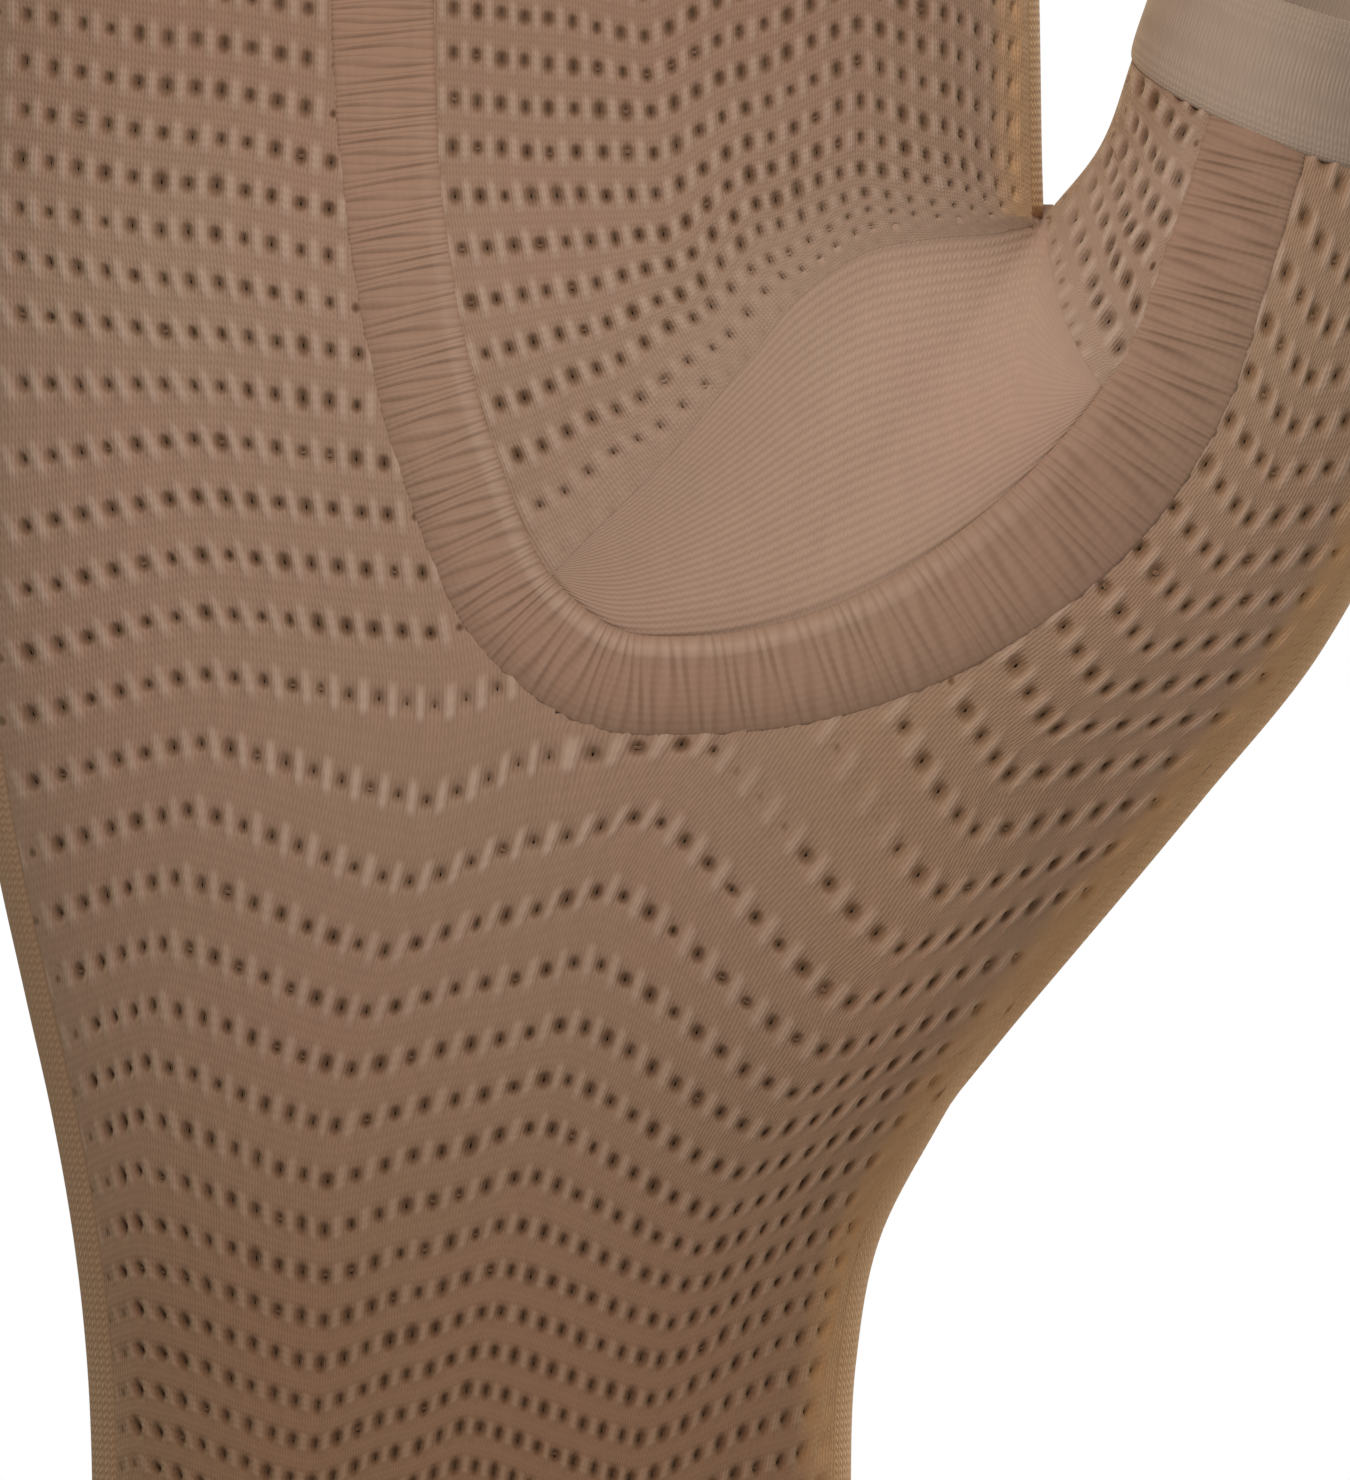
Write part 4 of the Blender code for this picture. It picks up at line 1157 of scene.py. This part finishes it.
# %% The palm side
BACK_HAND, BACK_THUMB, RIM_STEPS = 84, 44, 8  # columns of the palm's two lobes and of a rim
HAND_SHARE = BACK_HAND / (BACK_HAND + BACK_THUMB)
PALM_WALES, PALM_COURSE = 124, 0.55  # wales across both lobes, and the height of a course
EDGE_SUNK = 0.12  # how deep the rims' edges lie under the openwork that laps over them
UNDER_HEM, UNDER_THUMB_HEM = 1.0, 0.4  # how far the palm runs on under the hems, in mm and degrees


def across_lobe(low, high, share):
    """Positions between two edges, closest together at the edges: a half cosine."""
    return low + (high - low) * (1 - np.cos(np.pi * share)) / 2


def rim_steps(width):
    """Offsets from an edge over its rim, from the widest down to the edge itself."""
    return width * (1 - np.cos(np.pi / 2 * np.linspace(1, 0, RIM_STEPS + 1)[:-1]))


def with_rims(low, high, middle, width_low, width_high):
    """A ring's columns: front rim, the whole back, front rim, and the side of each column."""
    first = low[:, None] + rim_steps(width_low)
    last = (high[:, None] - rim_steps(width_high))[:, ::-1]
    side = np.repeat([FRONT, BACK, FRONT], [RIM_STEPS, middle.shape[1], RIM_STEPS])
    return np.concatenate([first, middle, last], axis=1), side


def on_sides(x, z, lift, side, near=None):
    """Points over (x, z), each column on its own side of the form: front or back."""
    front, back = (on_form(x, z, lift, way, near) for way in (FRONT, BACK))
    return np.where((side > 0)[:, None], back, front)


def palm_points(x, z, side):
    """Points of the palm's rings, whose first and last columns are just sunk."""
    from_edge = np.minimum(np.arange(len(side)), np.arange(len(side))[::-1])
    return on_sides(x, z, -EDGE_SUNK * ease(1 - from_edge / 1.5), side)


# %% Rings of the palm below the fork and over the hand
def palm_below(rows):
    """Rings from the forearm's hem to the fork, whose columns gather towards the fork."""
    level = np.linspace(FOREARM_END + FOREARM_HEM - UNDER_HEM, FORK_Z, rows)
    low, high = ring_left(level), ring_right(level)
    share = np.linspace(0, 1, BACK_HAND + BACK_THUMB + 1)
    one = across_lobe(low[:, None], high[:, None], share)
    hand_part = across_lobe(low[:, None], FORK_X, np.minimum(share / HAND_SHARE, 1))
    past = np.maximum((share - HAND_SHARE) / (1 - HAND_SHARE), 0)
    two = np.where(share <= HAND_SHARE, hand_part, across_lobe(FORK_X, high[:, None], past))
    gather = ease((level - GATHER_START) / (FORK_Z - GATHER_START))[:, None]
    x, side = with_rims(low, high, one * (1 - gather) + two * gather, RIM_LEFT, RIM_RIGHT)
    return palm_points(x, ring_z(level[:, None], x), side)


def palm_hand(rows):
    """Rings from the fork to the fingers' hem; the fork's bent ring levels out on the way."""
    f = np.linspace(0, 1, rows)[:, None]
    level = FORK_Z + f * (FINGER_END - FINGER_HEM + UNDER_HEM - FORK_Z)

    def height(x):
        """The ring's level, less what is left of the fork's droop."""
        return level + (ring_z(FORK_Z, x) - FORK_Z) * (1 - ease(f * 1.4))

    low = hand("left", level)
    for _ in range(4):
        low = hand("left", height(low))
    high = hand("right", level)
    middle = across_lobe(low, high, np.linspace(0, 1, BACK_HAND + 1))
    x, side = with_rims(low[:, 0], high[:, 0], middle, RIM_LEFT, RIM_FORK)
    return palm_points(x, height(x), side)


# %% Rings of the thumb
def tilted(lean, share, tilt):
    """The point at a share of the thumb's width on a tilted ring: it slides along the thumb by
    its depth, which is read off an ellipse, times the tilt."""
    depth = dome(0.0, 1.0, share, thumb("front", lean), 2.0)
    slid = lean - np.degrees(tilt * depth / ARC_RADIUS)
    low, high = thumb("inner", slid), thumb("outer", slid)
    return thumb_point(slid, low + (high - low) * share)


def palm_thumb(rows):
    """Rings from the fork to the thumb's hem, which turn from the bent ring to a tilted one.
    Columns keep to shares of the thumb's width, so that none passes the thumb's outline."""
    f = np.linspace(0, 1, rows)[:, None]
    share = np.linspace(0, 1, BACK_THUMB + 1)
    first_x = across_lobe(FORK_X, float(ring_right(np.array([FORK_Z]))[0]), share)
    first_lean, first_across = thumb_place(first_x, ring_z(FORK_Z, first_x))
    low, high = thumb("inner", first_lean), thumb("outer", first_lean)
    first_share = np.clip((first_across - low) / (high - low), 0, 1)
    settled = ease(3 * f)
    middle = first_share * (1 - settled) + across_lobe(0.0, 1.0, share) * settled
    last_lean = (THUMB_SEAM_LEAN - UNDER_THUMB_HEM) * f
    lean = first_lean[BACK_THUMB // 2] * (1 - f) + last_lean
    width = thumb("outer", lean) - thumb("inner", lean)
    rims = RIM_THUMB / width, RIM_RIGHT / width
    share, side = with_rims(np.zeros(rows), np.ones(rows), middle, *rims)
    leans = np.interp(share, first_share, first_lean) * (1 - f) + last_lean
    return palm_points(*tilted(leans, share, side * THUMB_TILT * f), side)


# %% The palm as one sheet
def palm_sheet():
    """The three parts as one sheet, with the shared ring's points counted once."""
    below, over_hand, over_thumb = palm_below(150), palm_hand(36), palm_thumb(26)
    width = below.shape[1]
    hand_columns, fork = RIM_STEPS + BACK_HAND + 1, RIM_STEPS + BACK_HAND
    ids = np.arange(below.shape[0] * width).reshape(-1, width)
    points, quads, total = [below.reshape(-1, 3)], [grid_quads(ids)], ids.size
    column = [np.tile(np.arange(width), below.shape[0])]
    for part, shared, own in (
        (over_hand, slice(0, hand_columns), slice(0, hand_columns)),
        (over_thumb, slice(fork, width), slice(RIM_STEPS, None)),
    ):
        rows, across = part.shape[:2]
        part_ids = total + np.arange(rows * across).reshape(rows, across)
        points.append(part.reshape(-1, 3))
        total += rows * across
        start = 0 if own.start == 0 else fork - RIM_STEPS
        column.append(np.tile(start + np.arange(across), rows))
        part_ids[0, own] = ids[-1, shared]
        quads.append(grid_quads(part_ids))
    return np.concatenate(points), np.concatenate(quads), np.concatenate(column)


points, quads, column = palm_sheet()
wale = PALM_WALES * column / (BACK_HAND + BACK_THUMB)
uv = np.stack([wale, points[:, 2] / PALM_COURSE], axis=1)
from_middle = points[:, 1] - middle_y(points[:, 0])
# golden yarn on the rims, with a painted golden sheen where the palm comes round to the front
golden = ease((2 - from_middle) / 4) * golden_and_sheen_share(points[:, 0], points[:, 2])
points, quads, uv, golden = used_only(points, facing_out(points, quads), uv, golden)
make_piece("palm", points, quads, uv, {"golden": golden}, "palm_panel", 1.0)

# %% [markdown]
# ## The hems
#
# Each open end is turned in and stitched down, so a hem is a doubled, rounded roll of cloth. Its
# profile is a superellipse in height and lift, carried once round the opening.


# %% The hems
HEM_POINTS, HEM_COURSES = 40, 28  # points and courses round a hem's profile
HEM_LOW, HEM_HALF = 0.42, 0.82  # depth of its middle below the form, and half its thickness
HEM_POWER = 0.42  # 1 gives an ellipse, and less a squarer bar


# %% Profile and rings of a hem
def hem_profile(low, high, count):
    """A rounded bar's outline: position between low and high, and lift from the form. Cosine
    and sine raised to a power below 1 make a superellipse."""
    turn = np.linspace(0, 2 * np.pi, count, endpoint=False)
    soft = [np.sign(w) * np.abs(w) ** HEM_POWER for w in (np.cos(turn), np.sin(turn))]
    return (low + high) / 2 + (high - low) / 2 * soft[0], -HEM_LOW + HEM_HALF * soft[1]


def all_round(count):
    """Shares of the width from edge to edge and back, closer together at the edges, and sides."""
    turn = np.linspace(0, 2 * np.pi, count, endpoint=False)
    return (1 - np.cos(turn)) / 2, np.where(np.sin(turn) > -1e-9, BACK, FRONT)


def level_loop(level, lift, count):
    """A ring of the hand or forearm at each level, all the way round."""
    share, side = all_round(count)
    level, lift = level[:, None], lift[:, None]
    low, high = hand("left", level), hand("right", level)
    x = low + (high - low) * share
    z = np.broadcast_to(level, x.shape)
    return on_sides(x, z, lift, side, (np.clip(x, low + 0.2, high - 0.2), z))


def thumb_loop(lean, lift, count):
    """A tilted ring of the thumb at each lean."""
    share, side = all_round(count)
    lean, lift = lean[:, None], lift[:, None]
    x, z = tilted(lean, share, side * THUMB_TILT)
    near = tilted(lean, np.clip(share, 0.01, 0.99), side * THUMB_TILT)
    return on_sides(x, z, lift, side, near)


# %% The three hems as pieces
def hem_piece(name, node, loop, low, high, columns, wales):
    """A hem: its profile carried round an opening, closed both ways."""
    points = loop(*hem_profile(low, high, HEM_POINTS), columns).reshape(-1, 3)
    ids = np.arange(HEM_POINTS * columns).reshape(HEM_POINTS, columns)
    ids = np.concatenate([ids, ids[:1]], axis=0)
    ids = np.concatenate([ids, ids[:, :1]], axis=1)
    quads = facing_out(points, grid_quads(ids))
    round_way = np.tile(np.arange(columns) * wales / columns, HEM_POINTS)
    along = np.repeat(np.arange(HEM_POINTS) * HEM_COURSES / HEM_POINTS, columns)
    uv = np.stack([round_way, along], axis=1)
    make_piece(name, points, quads, uv, {}, node)


for name, node, loop, low, high, columns, wales in (
    ("forearm_end", "forearm_hem", level_loop, FOREARM_END, FOREARM_END + FOREARM_HEM, 260, 240),
    ("finger_end", "finger_hem", level_loop, FINGER_END - FINGER_HEM, FINGER_END, 260, 240),
    ("thumb_end", "thumb_hem", thumb_loop, THUMB_END_LEAN, THUMB_SEAM_LEAN, 160, 110),
):
    hem_piece(name, node, loop, low, high, columns, wales)

# %% [markdown]
# ## The yarn
#
# All pieces are the same elastic yarn, a matt beige with a faint golden sheen where the cloth
# turns away. One recipe makes each finish: the stitches come from the UV map, which counts
# wales and courses, as two leaning legs to a stitch. They give a bump, and painted shade darkens
# the gaps, and soft noise varies the colour, because knitted yarn is never even. The openwork
# adds marks of its own: painted shade round each hole with a darker painted core, the paler yarn
# drawn up between two holes with a painted highlight on it, and near the wrist a furrow along
# each row with painted shade in it. Numbers on the points mix in golden yarn with a painted
# golden sheen at the rims, pale yarn, painted highlights and painted shade, and a painted
# fall-off of the light makes the cloth a little darker near the wrist and the fingers.


# %% A recipe for knitted yarn
def math_node(tree, operation, *values):
    """A Math node whose inputs are numbers or sockets; gives its output."""
    node = tree.nodes.new("ShaderNodeMath")
    node.operation = operation
    for socket, value in zip(node.inputs, values):
        if isinstance(value, (int, float)):
            socket.default_value = value
        else:
            tree.links.new(value, socket)
    return node.outputs[0]


def uv_parts(tree, name):
    """The two numbers of a UV map."""
    uv = tree.nodes.new("ShaderNodeUVMap")
    uv.uv_map = name
    split = tree.nodes.new("ShaderNodeSeparateXYZ")
    tree.links.new(uv.outputs[0], split.inputs[0])
    return split.outputs[0], split.outputs[1]


def attribute(tree, name):
    """A number stored on the piece's points, or 0 where it has none of that name."""
    node = tree.nodes.new("ShaderNodeAttribute")
    node.attribute_name = name
    return node.outputs["Fac"]


def falling(tree, value, start, end):
    """1 below start and 0 above end, with a soft step between them."""
    node = tree.nodes.new("ShaderNodeMapRange")
    node.interpolation_type = "SMOOTHSTEP"
    for key, number in (("From Min", start), ("From Max", end), ("To Min", 1.0), ("To Max", 0.0)):
        node.inputs[key].default_value = number
    tree.links.new(value, node.inputs["Value"])
    return node.outputs[0]


# %% Stitches, holes and bars as patterns
def stitch_height(tree, lean, wave):
    """Knitted legs: a sine of the course number plus lean times the distance from the wale's
    middle, as strong as wave says, times a hump across each leg."""
    wales, courses = uv_parts(tree, "stitches")
    wale = math_node(tree, "FRACT", wales)
    leg = math_node(tree, "ABSOLUTE", math_node(tree, "SUBTRACT", wale, 0.5))
    course = math_node(tree, "MULTIPLY_ADD", leg, lean, courses)
    course = math_node(tree, "SINE", math_node(tree, "MULTIPLY", course, 2 * math.pi))
    hump = math_node(tree, "SINE", math_node(tree, "MULTIPLY", leg, 2 * math.pi))
    rounded = math_node(tree, "MULTIPLY_ADD", course, wave, 1 - wave)
    return math_node(tree, "MULTIPLY", rounded, math_node(tree, "MULTIPLY_ADD", hump, 0.75, 0.25))


def hole_shade(tree, start, end):
    """A soft step that falls with the distance from an eyelet's middle, whose lip is at 1."""
    p, q = uv_parts(tree, "eyelet")
    squared = math_node(tree, "MULTIPLY_ADD", p, p, math_node(tree, "MULTIPLY", q, q))
    return falling(tree, math_node(tree, "POWER", squared, 0.5), start, end)


WRIST = (0.01, 0.04)  # heights in metres between which the look of the wrist fades out
LEAST_GAP, SHORTER = 3.9, 1.6  # row distance that a bar's length follows; bars are shorter there


def drawn_bar(tree):
    """1 on the drawn-up yarn between two eyelets of a row. Across, it falls with the distance
    from the line half way between two columns, which leans; along, with the height in mm."""
    wales, courses = uv_parts(tree, "stitches")
    row = math_node(tree, "MULTIPLY_ADD", courses, 1 / STITCHES[1], 0.5)
    height = math_node(tree, "SUBTRACT", math_node(tree, "FRACT", row), 0.5)
    leaning = math_node(tree, "MULTIPLY", height, attribute(tree, "lean"))
    column = math_node(tree, "MULTIPLY_ADD", wales, 1 / STITCHES[0], leaning)
    aside = math_node(tree, "SUBTRACT", math_node(tree, "FRACT", column), 0.5)
    row_gap = math_node(tree, "MAXIMUM", attribute(tree, "row_gap"), LEAST_GAP)
    row_gap = math_node(tree, "MULTIPLY_ADD", below(tree, *WRIST), SHORTER, row_gap)
    tall = math_node(tree, "MULTIPLY", math_node(tree, "ABSOLUTE", height), row_gap)
    across = falling(tree, math_node(tree, "ABSOLUTE", aside), 0.03, 0.25)
    return math_node(tree, "MULTIPLY", across, falling(tree, tall, 0.6, 1.7))


def furrow(tree):
    """From 0 on the ridge half way between two rows of eyelets to 1 in the rows: a cosine."""
    courses = uv_parts(tree, "stitches")[1]
    turns = math_node(tree, "MULTIPLY_ADD", courses, 2 * math.pi / STITCHES[1], 2 * math.pi * 0.08)
    return math_node(tree, "MULTIPLY_ADD", math_node(tree, "COSINE", turns), 0.5, 0.5)


# %% Heights, mixes and noise
def below(tree, low, high):
    """1 below one height and 0 above another, in metres; with low above high, 1 above low."""
    place = tree.nodes.new("ShaderNodeTexCoord")
    split = tree.nodes.new("ShaderNodeSeparateXYZ")
    tree.links.new(place.outputs["Object"], split.inputs[0])
    return falling(tree, split.outputs[2], low, high)


def mixed(tree, kind, factor, a, b):
    """A colour mix; factor, a and b are numbers, colours or sockets."""
    node = tree.nodes.new("ShaderNodeMix")
    node.data_type = "RGBA"
    node.blend_type = kind
    for socket, value in ((node.inputs[0], factor), (node.inputs[6], a), (node.inputs[7], b)):
        if isinstance(value, (int, float)):
            socket.default_value = value
        elif isinstance(value, tuple):
            socket.default_value = (*value, 1.0)
        else:
            tree.links.new(value, socket)
    return node.outputs[2]


def noise(tree, scale, detail, stretch=(1.0, 1.0, 1.0)):
    """Noise on Object coordinates, from 0 to 1; scale counts features in a metre."""
    place = tree.nodes.new("ShaderNodeTexCoord")
    turn = tree.nodes.new("ShaderNodeMapping")
    turn.inputs["Scale"].default_value = stretch
    tree.links.new(place.outputs["Object"], turn.inputs[0])
    node = tree.nodes.new("ShaderNodeTexNoise")
    node.inputs["Scale"].default_value = scale
    node.inputs["Detail"].default_value = detail
    tree.links.new(turn.outputs[0], node.inputs["Vector"])
    return node.outputs[0]


# %% What the openwork adds
# pale yarn with painted highlights, painted shade, a darker painted core, golden yarn with painted
# sheen
PALE_HIGHLIGHT_COLOUR, DEEP, CORE, GOLDEN_SHEEN_COLOUR = (
    (0.42, 0.295, 0.225),
    (0.135, 0.068, 0.036),
    (0.05, 0.024, 0.012),
    (0.47, 0.260, 0.118),
)
HOLE_SHADES = ((1.0, 2.2, 0.88, DEEP), (0.2, 1.3, 0.6, CORE))  # start, end, strength, colour
FURROW_SHADE, FURROW_DEPTH = 0.24, 1.8
# how pale the bars are, with a painted highlight where they catch the light, and how far they rise
BAR_PALE_AND_HIGHLIGHT, BAR_RISE = 0.6, 0.8
OPENWORK_PAINTED_FALLOFF = (  # painted fall-off of the light: a height where it is full, one where it is gone, and the colour
    (0.0, 0.04, (0.96, 0.90, 0.82)),
    (0.115, 0.083, (0.91, 0.89, 0.88)),
)
# painted fall-off of the light on every finish, towards the wrist and the fingers' end
PAINTED_FALLOFF = ((-0.005, 0.085, (0.84, 0.775, 0.70)), (0.115, 0.083, (0.90, 0.87, 0.84)))


def with_painted_falloff(tree, base, falloffs):
    """Multiplies a colour by darker colours that fade with the height: a painted fall-off of the
    light.
    """
    for low, high, tint in falloffs:
        base = mixed(tree, "MULTIPLY", below(tree, low, high), base, tint)
    return base


def with_openwork(tree, base, height, deep):
    """Colour and height of openwork yarn: furrows with painted shade, pale drawn-up bars with a
    painted highlight, and painted shade at the holes.
    """
    bar = math_node(tree, "MULTIPLY", drawn_bar(tree), attribute(tree, "bar_mark"))
    row = math_node(tree, "MULTIPLY", furrow(tree), below(tree, *WRIST))
    # painted shade in the furrow along each row near the wrist
    base = mixed(tree, "MIX", math_node(tree, "MULTIPLY", row, FURROW_SHADE), base, deep)
    height = math_node(tree, "SUBTRACT", height, math_node(tree, "MULTIPLY", row, FURROW_DEPTH))
    # pale yarn on the bars, with a painted highlight where they catch the light
    base = mixed(tree, "MIX", math_node(tree, "MULTIPLY", bar, BAR_PALE_AND_HIGHLIGHT), base, PALE_HIGHLIGHT_COLOUR)
    for start, end, strength, colour in HOLE_SHADES:
        hole = hole_shade(tree, start, end)
        hole = math_node(tree, "MULTIPLY", hole, attribute(tree, "hole_mark"))
        base = mixed(tree, "MIX", math_node(tree, "MULTIPLY", hole, strength), base, colour)
    height = math_node(tree, "ADD", height, math_node(tree, "MULTIPLY", bar, BAR_RISE))
    # painted fall-off of the light on the openwork, warmer and darker at the wrist
    return with_painted_falloff(tree, base, OPENWORK_PAINTED_FALLOFF), height


# %% The recipe itself
def knitted_colour(tree, height, colour, deep, gap):
    """Patches that lean to olive or rose, fine darker flecks, and deep colour as painted shade in
    the gaps.
    """
    patches = math_node(tree, "MULTIPLY_ADD", noise(tree, 55.0, 3.0), 1.6, -0.3)
    patches.node.use_clamp = True
    olive = tuple(np.multiply(colour, (1.0, 1.04, 1.0)).tolist())
    rosy = tuple(np.multiply(colour, (1.04, 0.95, 0.98)).tolist())
    base = mixed(tree, "MIX", patches, olive, rosy)
    fine = math_node(tree, "MULTIPLY_ADD", noise(tree, 1300.0, 2.0, (1.0, 1.0, 0.35)), 0.5, -0.12)
    base = mixed(tree, "MIX", fine, base, tuple(c * 0.74 for c in colour))
    # painted shade: the gaps between the stitches mix towards the deep colour
    gaps = math_node(tree, "MULTIPLY_ADD", height, -1.3 * gap, gap)
    gaps.node.use_clamp = True
    return mixed(tree, "MIX", gaps, base, deep)


def yarn(name, colour, deep, lean=1.0, wave=0.3, bump=0.4, gap=0.2, openwork=False):
    """A knitted finish: colour on the yarn, deep as painted shade in its gaps and in shaded places;
    lean and wave shape its stitches, and bump and gap say how high and how dark they are."""
    made = bpy.data.materials.new(name)
    made.use_nodes = True
    tree = made.node_tree
    shader = tree.nodes["Principled BSDF"]
    height = stitch_height(tree, lean, wave)
    base = knitted_colour(tree, height, colour, deep, gap)
    if openwork:
        base, height = with_openwork(tree, base, height, deep)
    # golden yarn with a painted sheen, pale yarn with painted highlights, and painted shade
    for key, other in (("golden", GOLDEN_SHEEN_COLOUR), ("pale", PALE_HIGHLIGHT_COLOUR), ("shade", deep)):
        base = mixed(tree, "MIX", attribute(tree, key), base, other)
    # painted fall-off of the light towards the wrist and the fingers' end
    tree.links.new(with_painted_falloff(tree, base, PAINTED_FALLOFF), shader.inputs["Base Color"])
    raised = tree.nodes.new("ShaderNodeBump")
    raised.inputs["Strength"].default_value = bump
    raised.inputs["Distance"].default_value = 0.0002
    tree.links.new(height, raised.inputs["Height"])
    tree.links.new(raised.outputs[0], shader.inputs["Normal"])
    shader.inputs["Roughness"].default_value = 0.85
    shader.inputs["Specular IOR Level"].default_value = 0.18
    shader.inputs["Sheen Weight"].default_value = 0.35
    shader.inputs["Sheen Roughness"].default_value = 0.45
    shader.inputs["Sheen Tint"].default_value = (1.0, 0.72, 0.42, 1.0)
    return made


# %% The finishes
OPEN, RIBBED, PLAIN = (0.303, 0.194, 0.134), (0.292, 0.178, 0.121), (0.389, 0.254, 0.185)
PALM, HEM = (0.330, 0.207, 0.136), (0.33, 0.25, 0.195)
# deep colours: painted shade in the gaps between stitches and in shaded places
RIB_DEEP, WEB_DEEP = (0.15, 0.083, 0.052), (0.24, 0.152, 0.106)
PALM_DEEP, HEM_DEEP = (0.17, 0.095, 0.055), (0.13, 0.085, 0.06)
FINISHES = {
    "eyelet_knit": yarn("openwork yarn", OPEN, DEEP, wave=0.2, gap=0.28, openwork=True),
    "rib_knit": yarn("ribbed yarn", RIBBED, RIB_DEEP, lean=0.3, wave=0.1, gap=0.08),
    "plain_knit": yarn("plain yarn", PLAIN, WEB_DEEP, lean=0.4, wave=0.6, bump=0.3),
    "palm_knit": yarn("palm yarn", PALM, PALM_DEEP, wave=0.5),
    "hem_knit": yarn("hem yarn", HEM, HEM_DEEP, lean=0.6, bump=0.3),
}
WORN_BY = {
    "eyelet_knit": [name for name in pieces if name.endswith("openwork")],
    "rib_knit": ["ribbed_band"],
    "plain_knit": ["web"],
    "palm_knit": ["palm"],
    "hem_knit": [name for name in pieces if name.endswith("_end")],
}
for finish, names in WORN_BY.items():
    for name in names:
        pieces[name].data.materials.append(FINISHES[finish])
print("finishes:", ", ".join(FINISHES))

# %% [markdown]
# ## Knitted to shape
#
# The glove is knitted to shape, so each zone's flat size is what it would measure lying relaxed.
# Worn, it is stretched over the hand.

# %% [markdown]
# ## Floor, light and camera
#
# The glove is held as if worn, so the floor lies below it. A soft lamp above and in front, close
# enough to fade towards the wrist, models the cloth, and a weak even light fills the rest.
# A long lens far away keeps the proportions that the glove has in the hand.


# %% Stage
def stage_floor():
    """A wide, plain, pale floor below the glove."""
    mesh = bpy.data.meshes.new("floor")
    size, low = 4.0, -0.085
    corners = [(-size, -size, low), (size, -size, low), (size, size, low), (-size, size, low)]
    mesh.from_pydata(corners, [], [(0, 1, 2, 3)])
    floor = bpy.data.objects.new("floor", mesh)
    bpy.context.collection.objects.link(floor)
    made = bpy.data.materials.new("pale floor")
    made.use_nodes = True
    shader = made.node_tree.nodes["Principled BSDF"]
    shader.inputs["Base Color"].default_value = (0.8, 0.8, 0.8, 1.0)
    shader.inputs["Roughness"].default_value = 0.9
    mesh.materials.append(made)


def lamp(name, place, aim, size, power, colour):
    """A square area lamp at a place, in metres, turned to face a point."""
    data = bpy.data.lights.new(name, "AREA")
    data.shape, data.size = "SQUARE", size
    data.energy, data.color = power, colour
    made = bpy.data.objects.new(name, data)
    bpy.context.collection.objects.link(made)
    direction = np.subtract(aim, place)
    across = math.hypot(direction[0], direction[1])
    made.location = place
    turn = math.atan2(-direction[0], direction[1])
    made.rotation_euler = (math.atan2(across, -direction[2]), 0.0, turn)


def white_world(strength):
    """Even light of one strength, behind a background that the camera sees as white."""
    world = bpy.data.worlds.new("studio")
    world.use_nodes = True
    bpy.context.scene.world = world
    tree = world.node_tree
    background = tree.nodes["Background"]
    background.inputs[0].default_value = (1.0, 1.0, 1.0, 1.0)
    path = tree.nodes.new("ShaderNodeLightPath").outputs
    seen = math_node(tree, "MAXIMUM", path["Is Camera Ray"], path["Is Transmission Ray"])
    level = math_node(tree, "MULTIPLY_ADD", seen, 1.0 - strength, strength)
    tree.links.new(level, background.inputs[1])


stage_floor()
white_world(0.25)
lamp("key", (0.0, -0.24, 0.27), (0.01, 0.0, 0.08), 0.14, 0.88, (1.0, 0.97, 0.93))
lamp("back fill", (0.25, 0.5, 0.25), (0.0, 0.0, 0.03), 0.4, 3.0, (1.0, 0.98, 0.95))
bpy.context.scene.view_settings.view_transform = "Standard"

# %% Camera
SEEN_HEIGHT = 105.71  # millimetres from the lower to the upper edge of the view
SEEN_CENTRE = (14.64, 54.29)  # its middle, in x and z
DISTANCE = 2.5  # metres

camera = bpy.data.objects.new("camera", bpy.data.cameras.new("camera"))
bpy.context.collection.objects.link(camera)
camera.data.sensor_width = 36.0
camera.data.lens = camera.data.sensor_width * DISTANCE / (SEEN_HEIGHT * MM)
camera.data.clip_start, camera.data.clip_end = 0.1, 20.0
camera.location = (SEEN_CENTRE[0] * MM, -DISTANCE, SEEN_CENTRE[1] * MM)
camera.rotation_euler = (math.pi / 2, 0.0, 0.0)
bpy.context.scene.camera = camera
print("camera lens %.0f mm at %.1f m" % (camera.data.lens, DISTANCE))
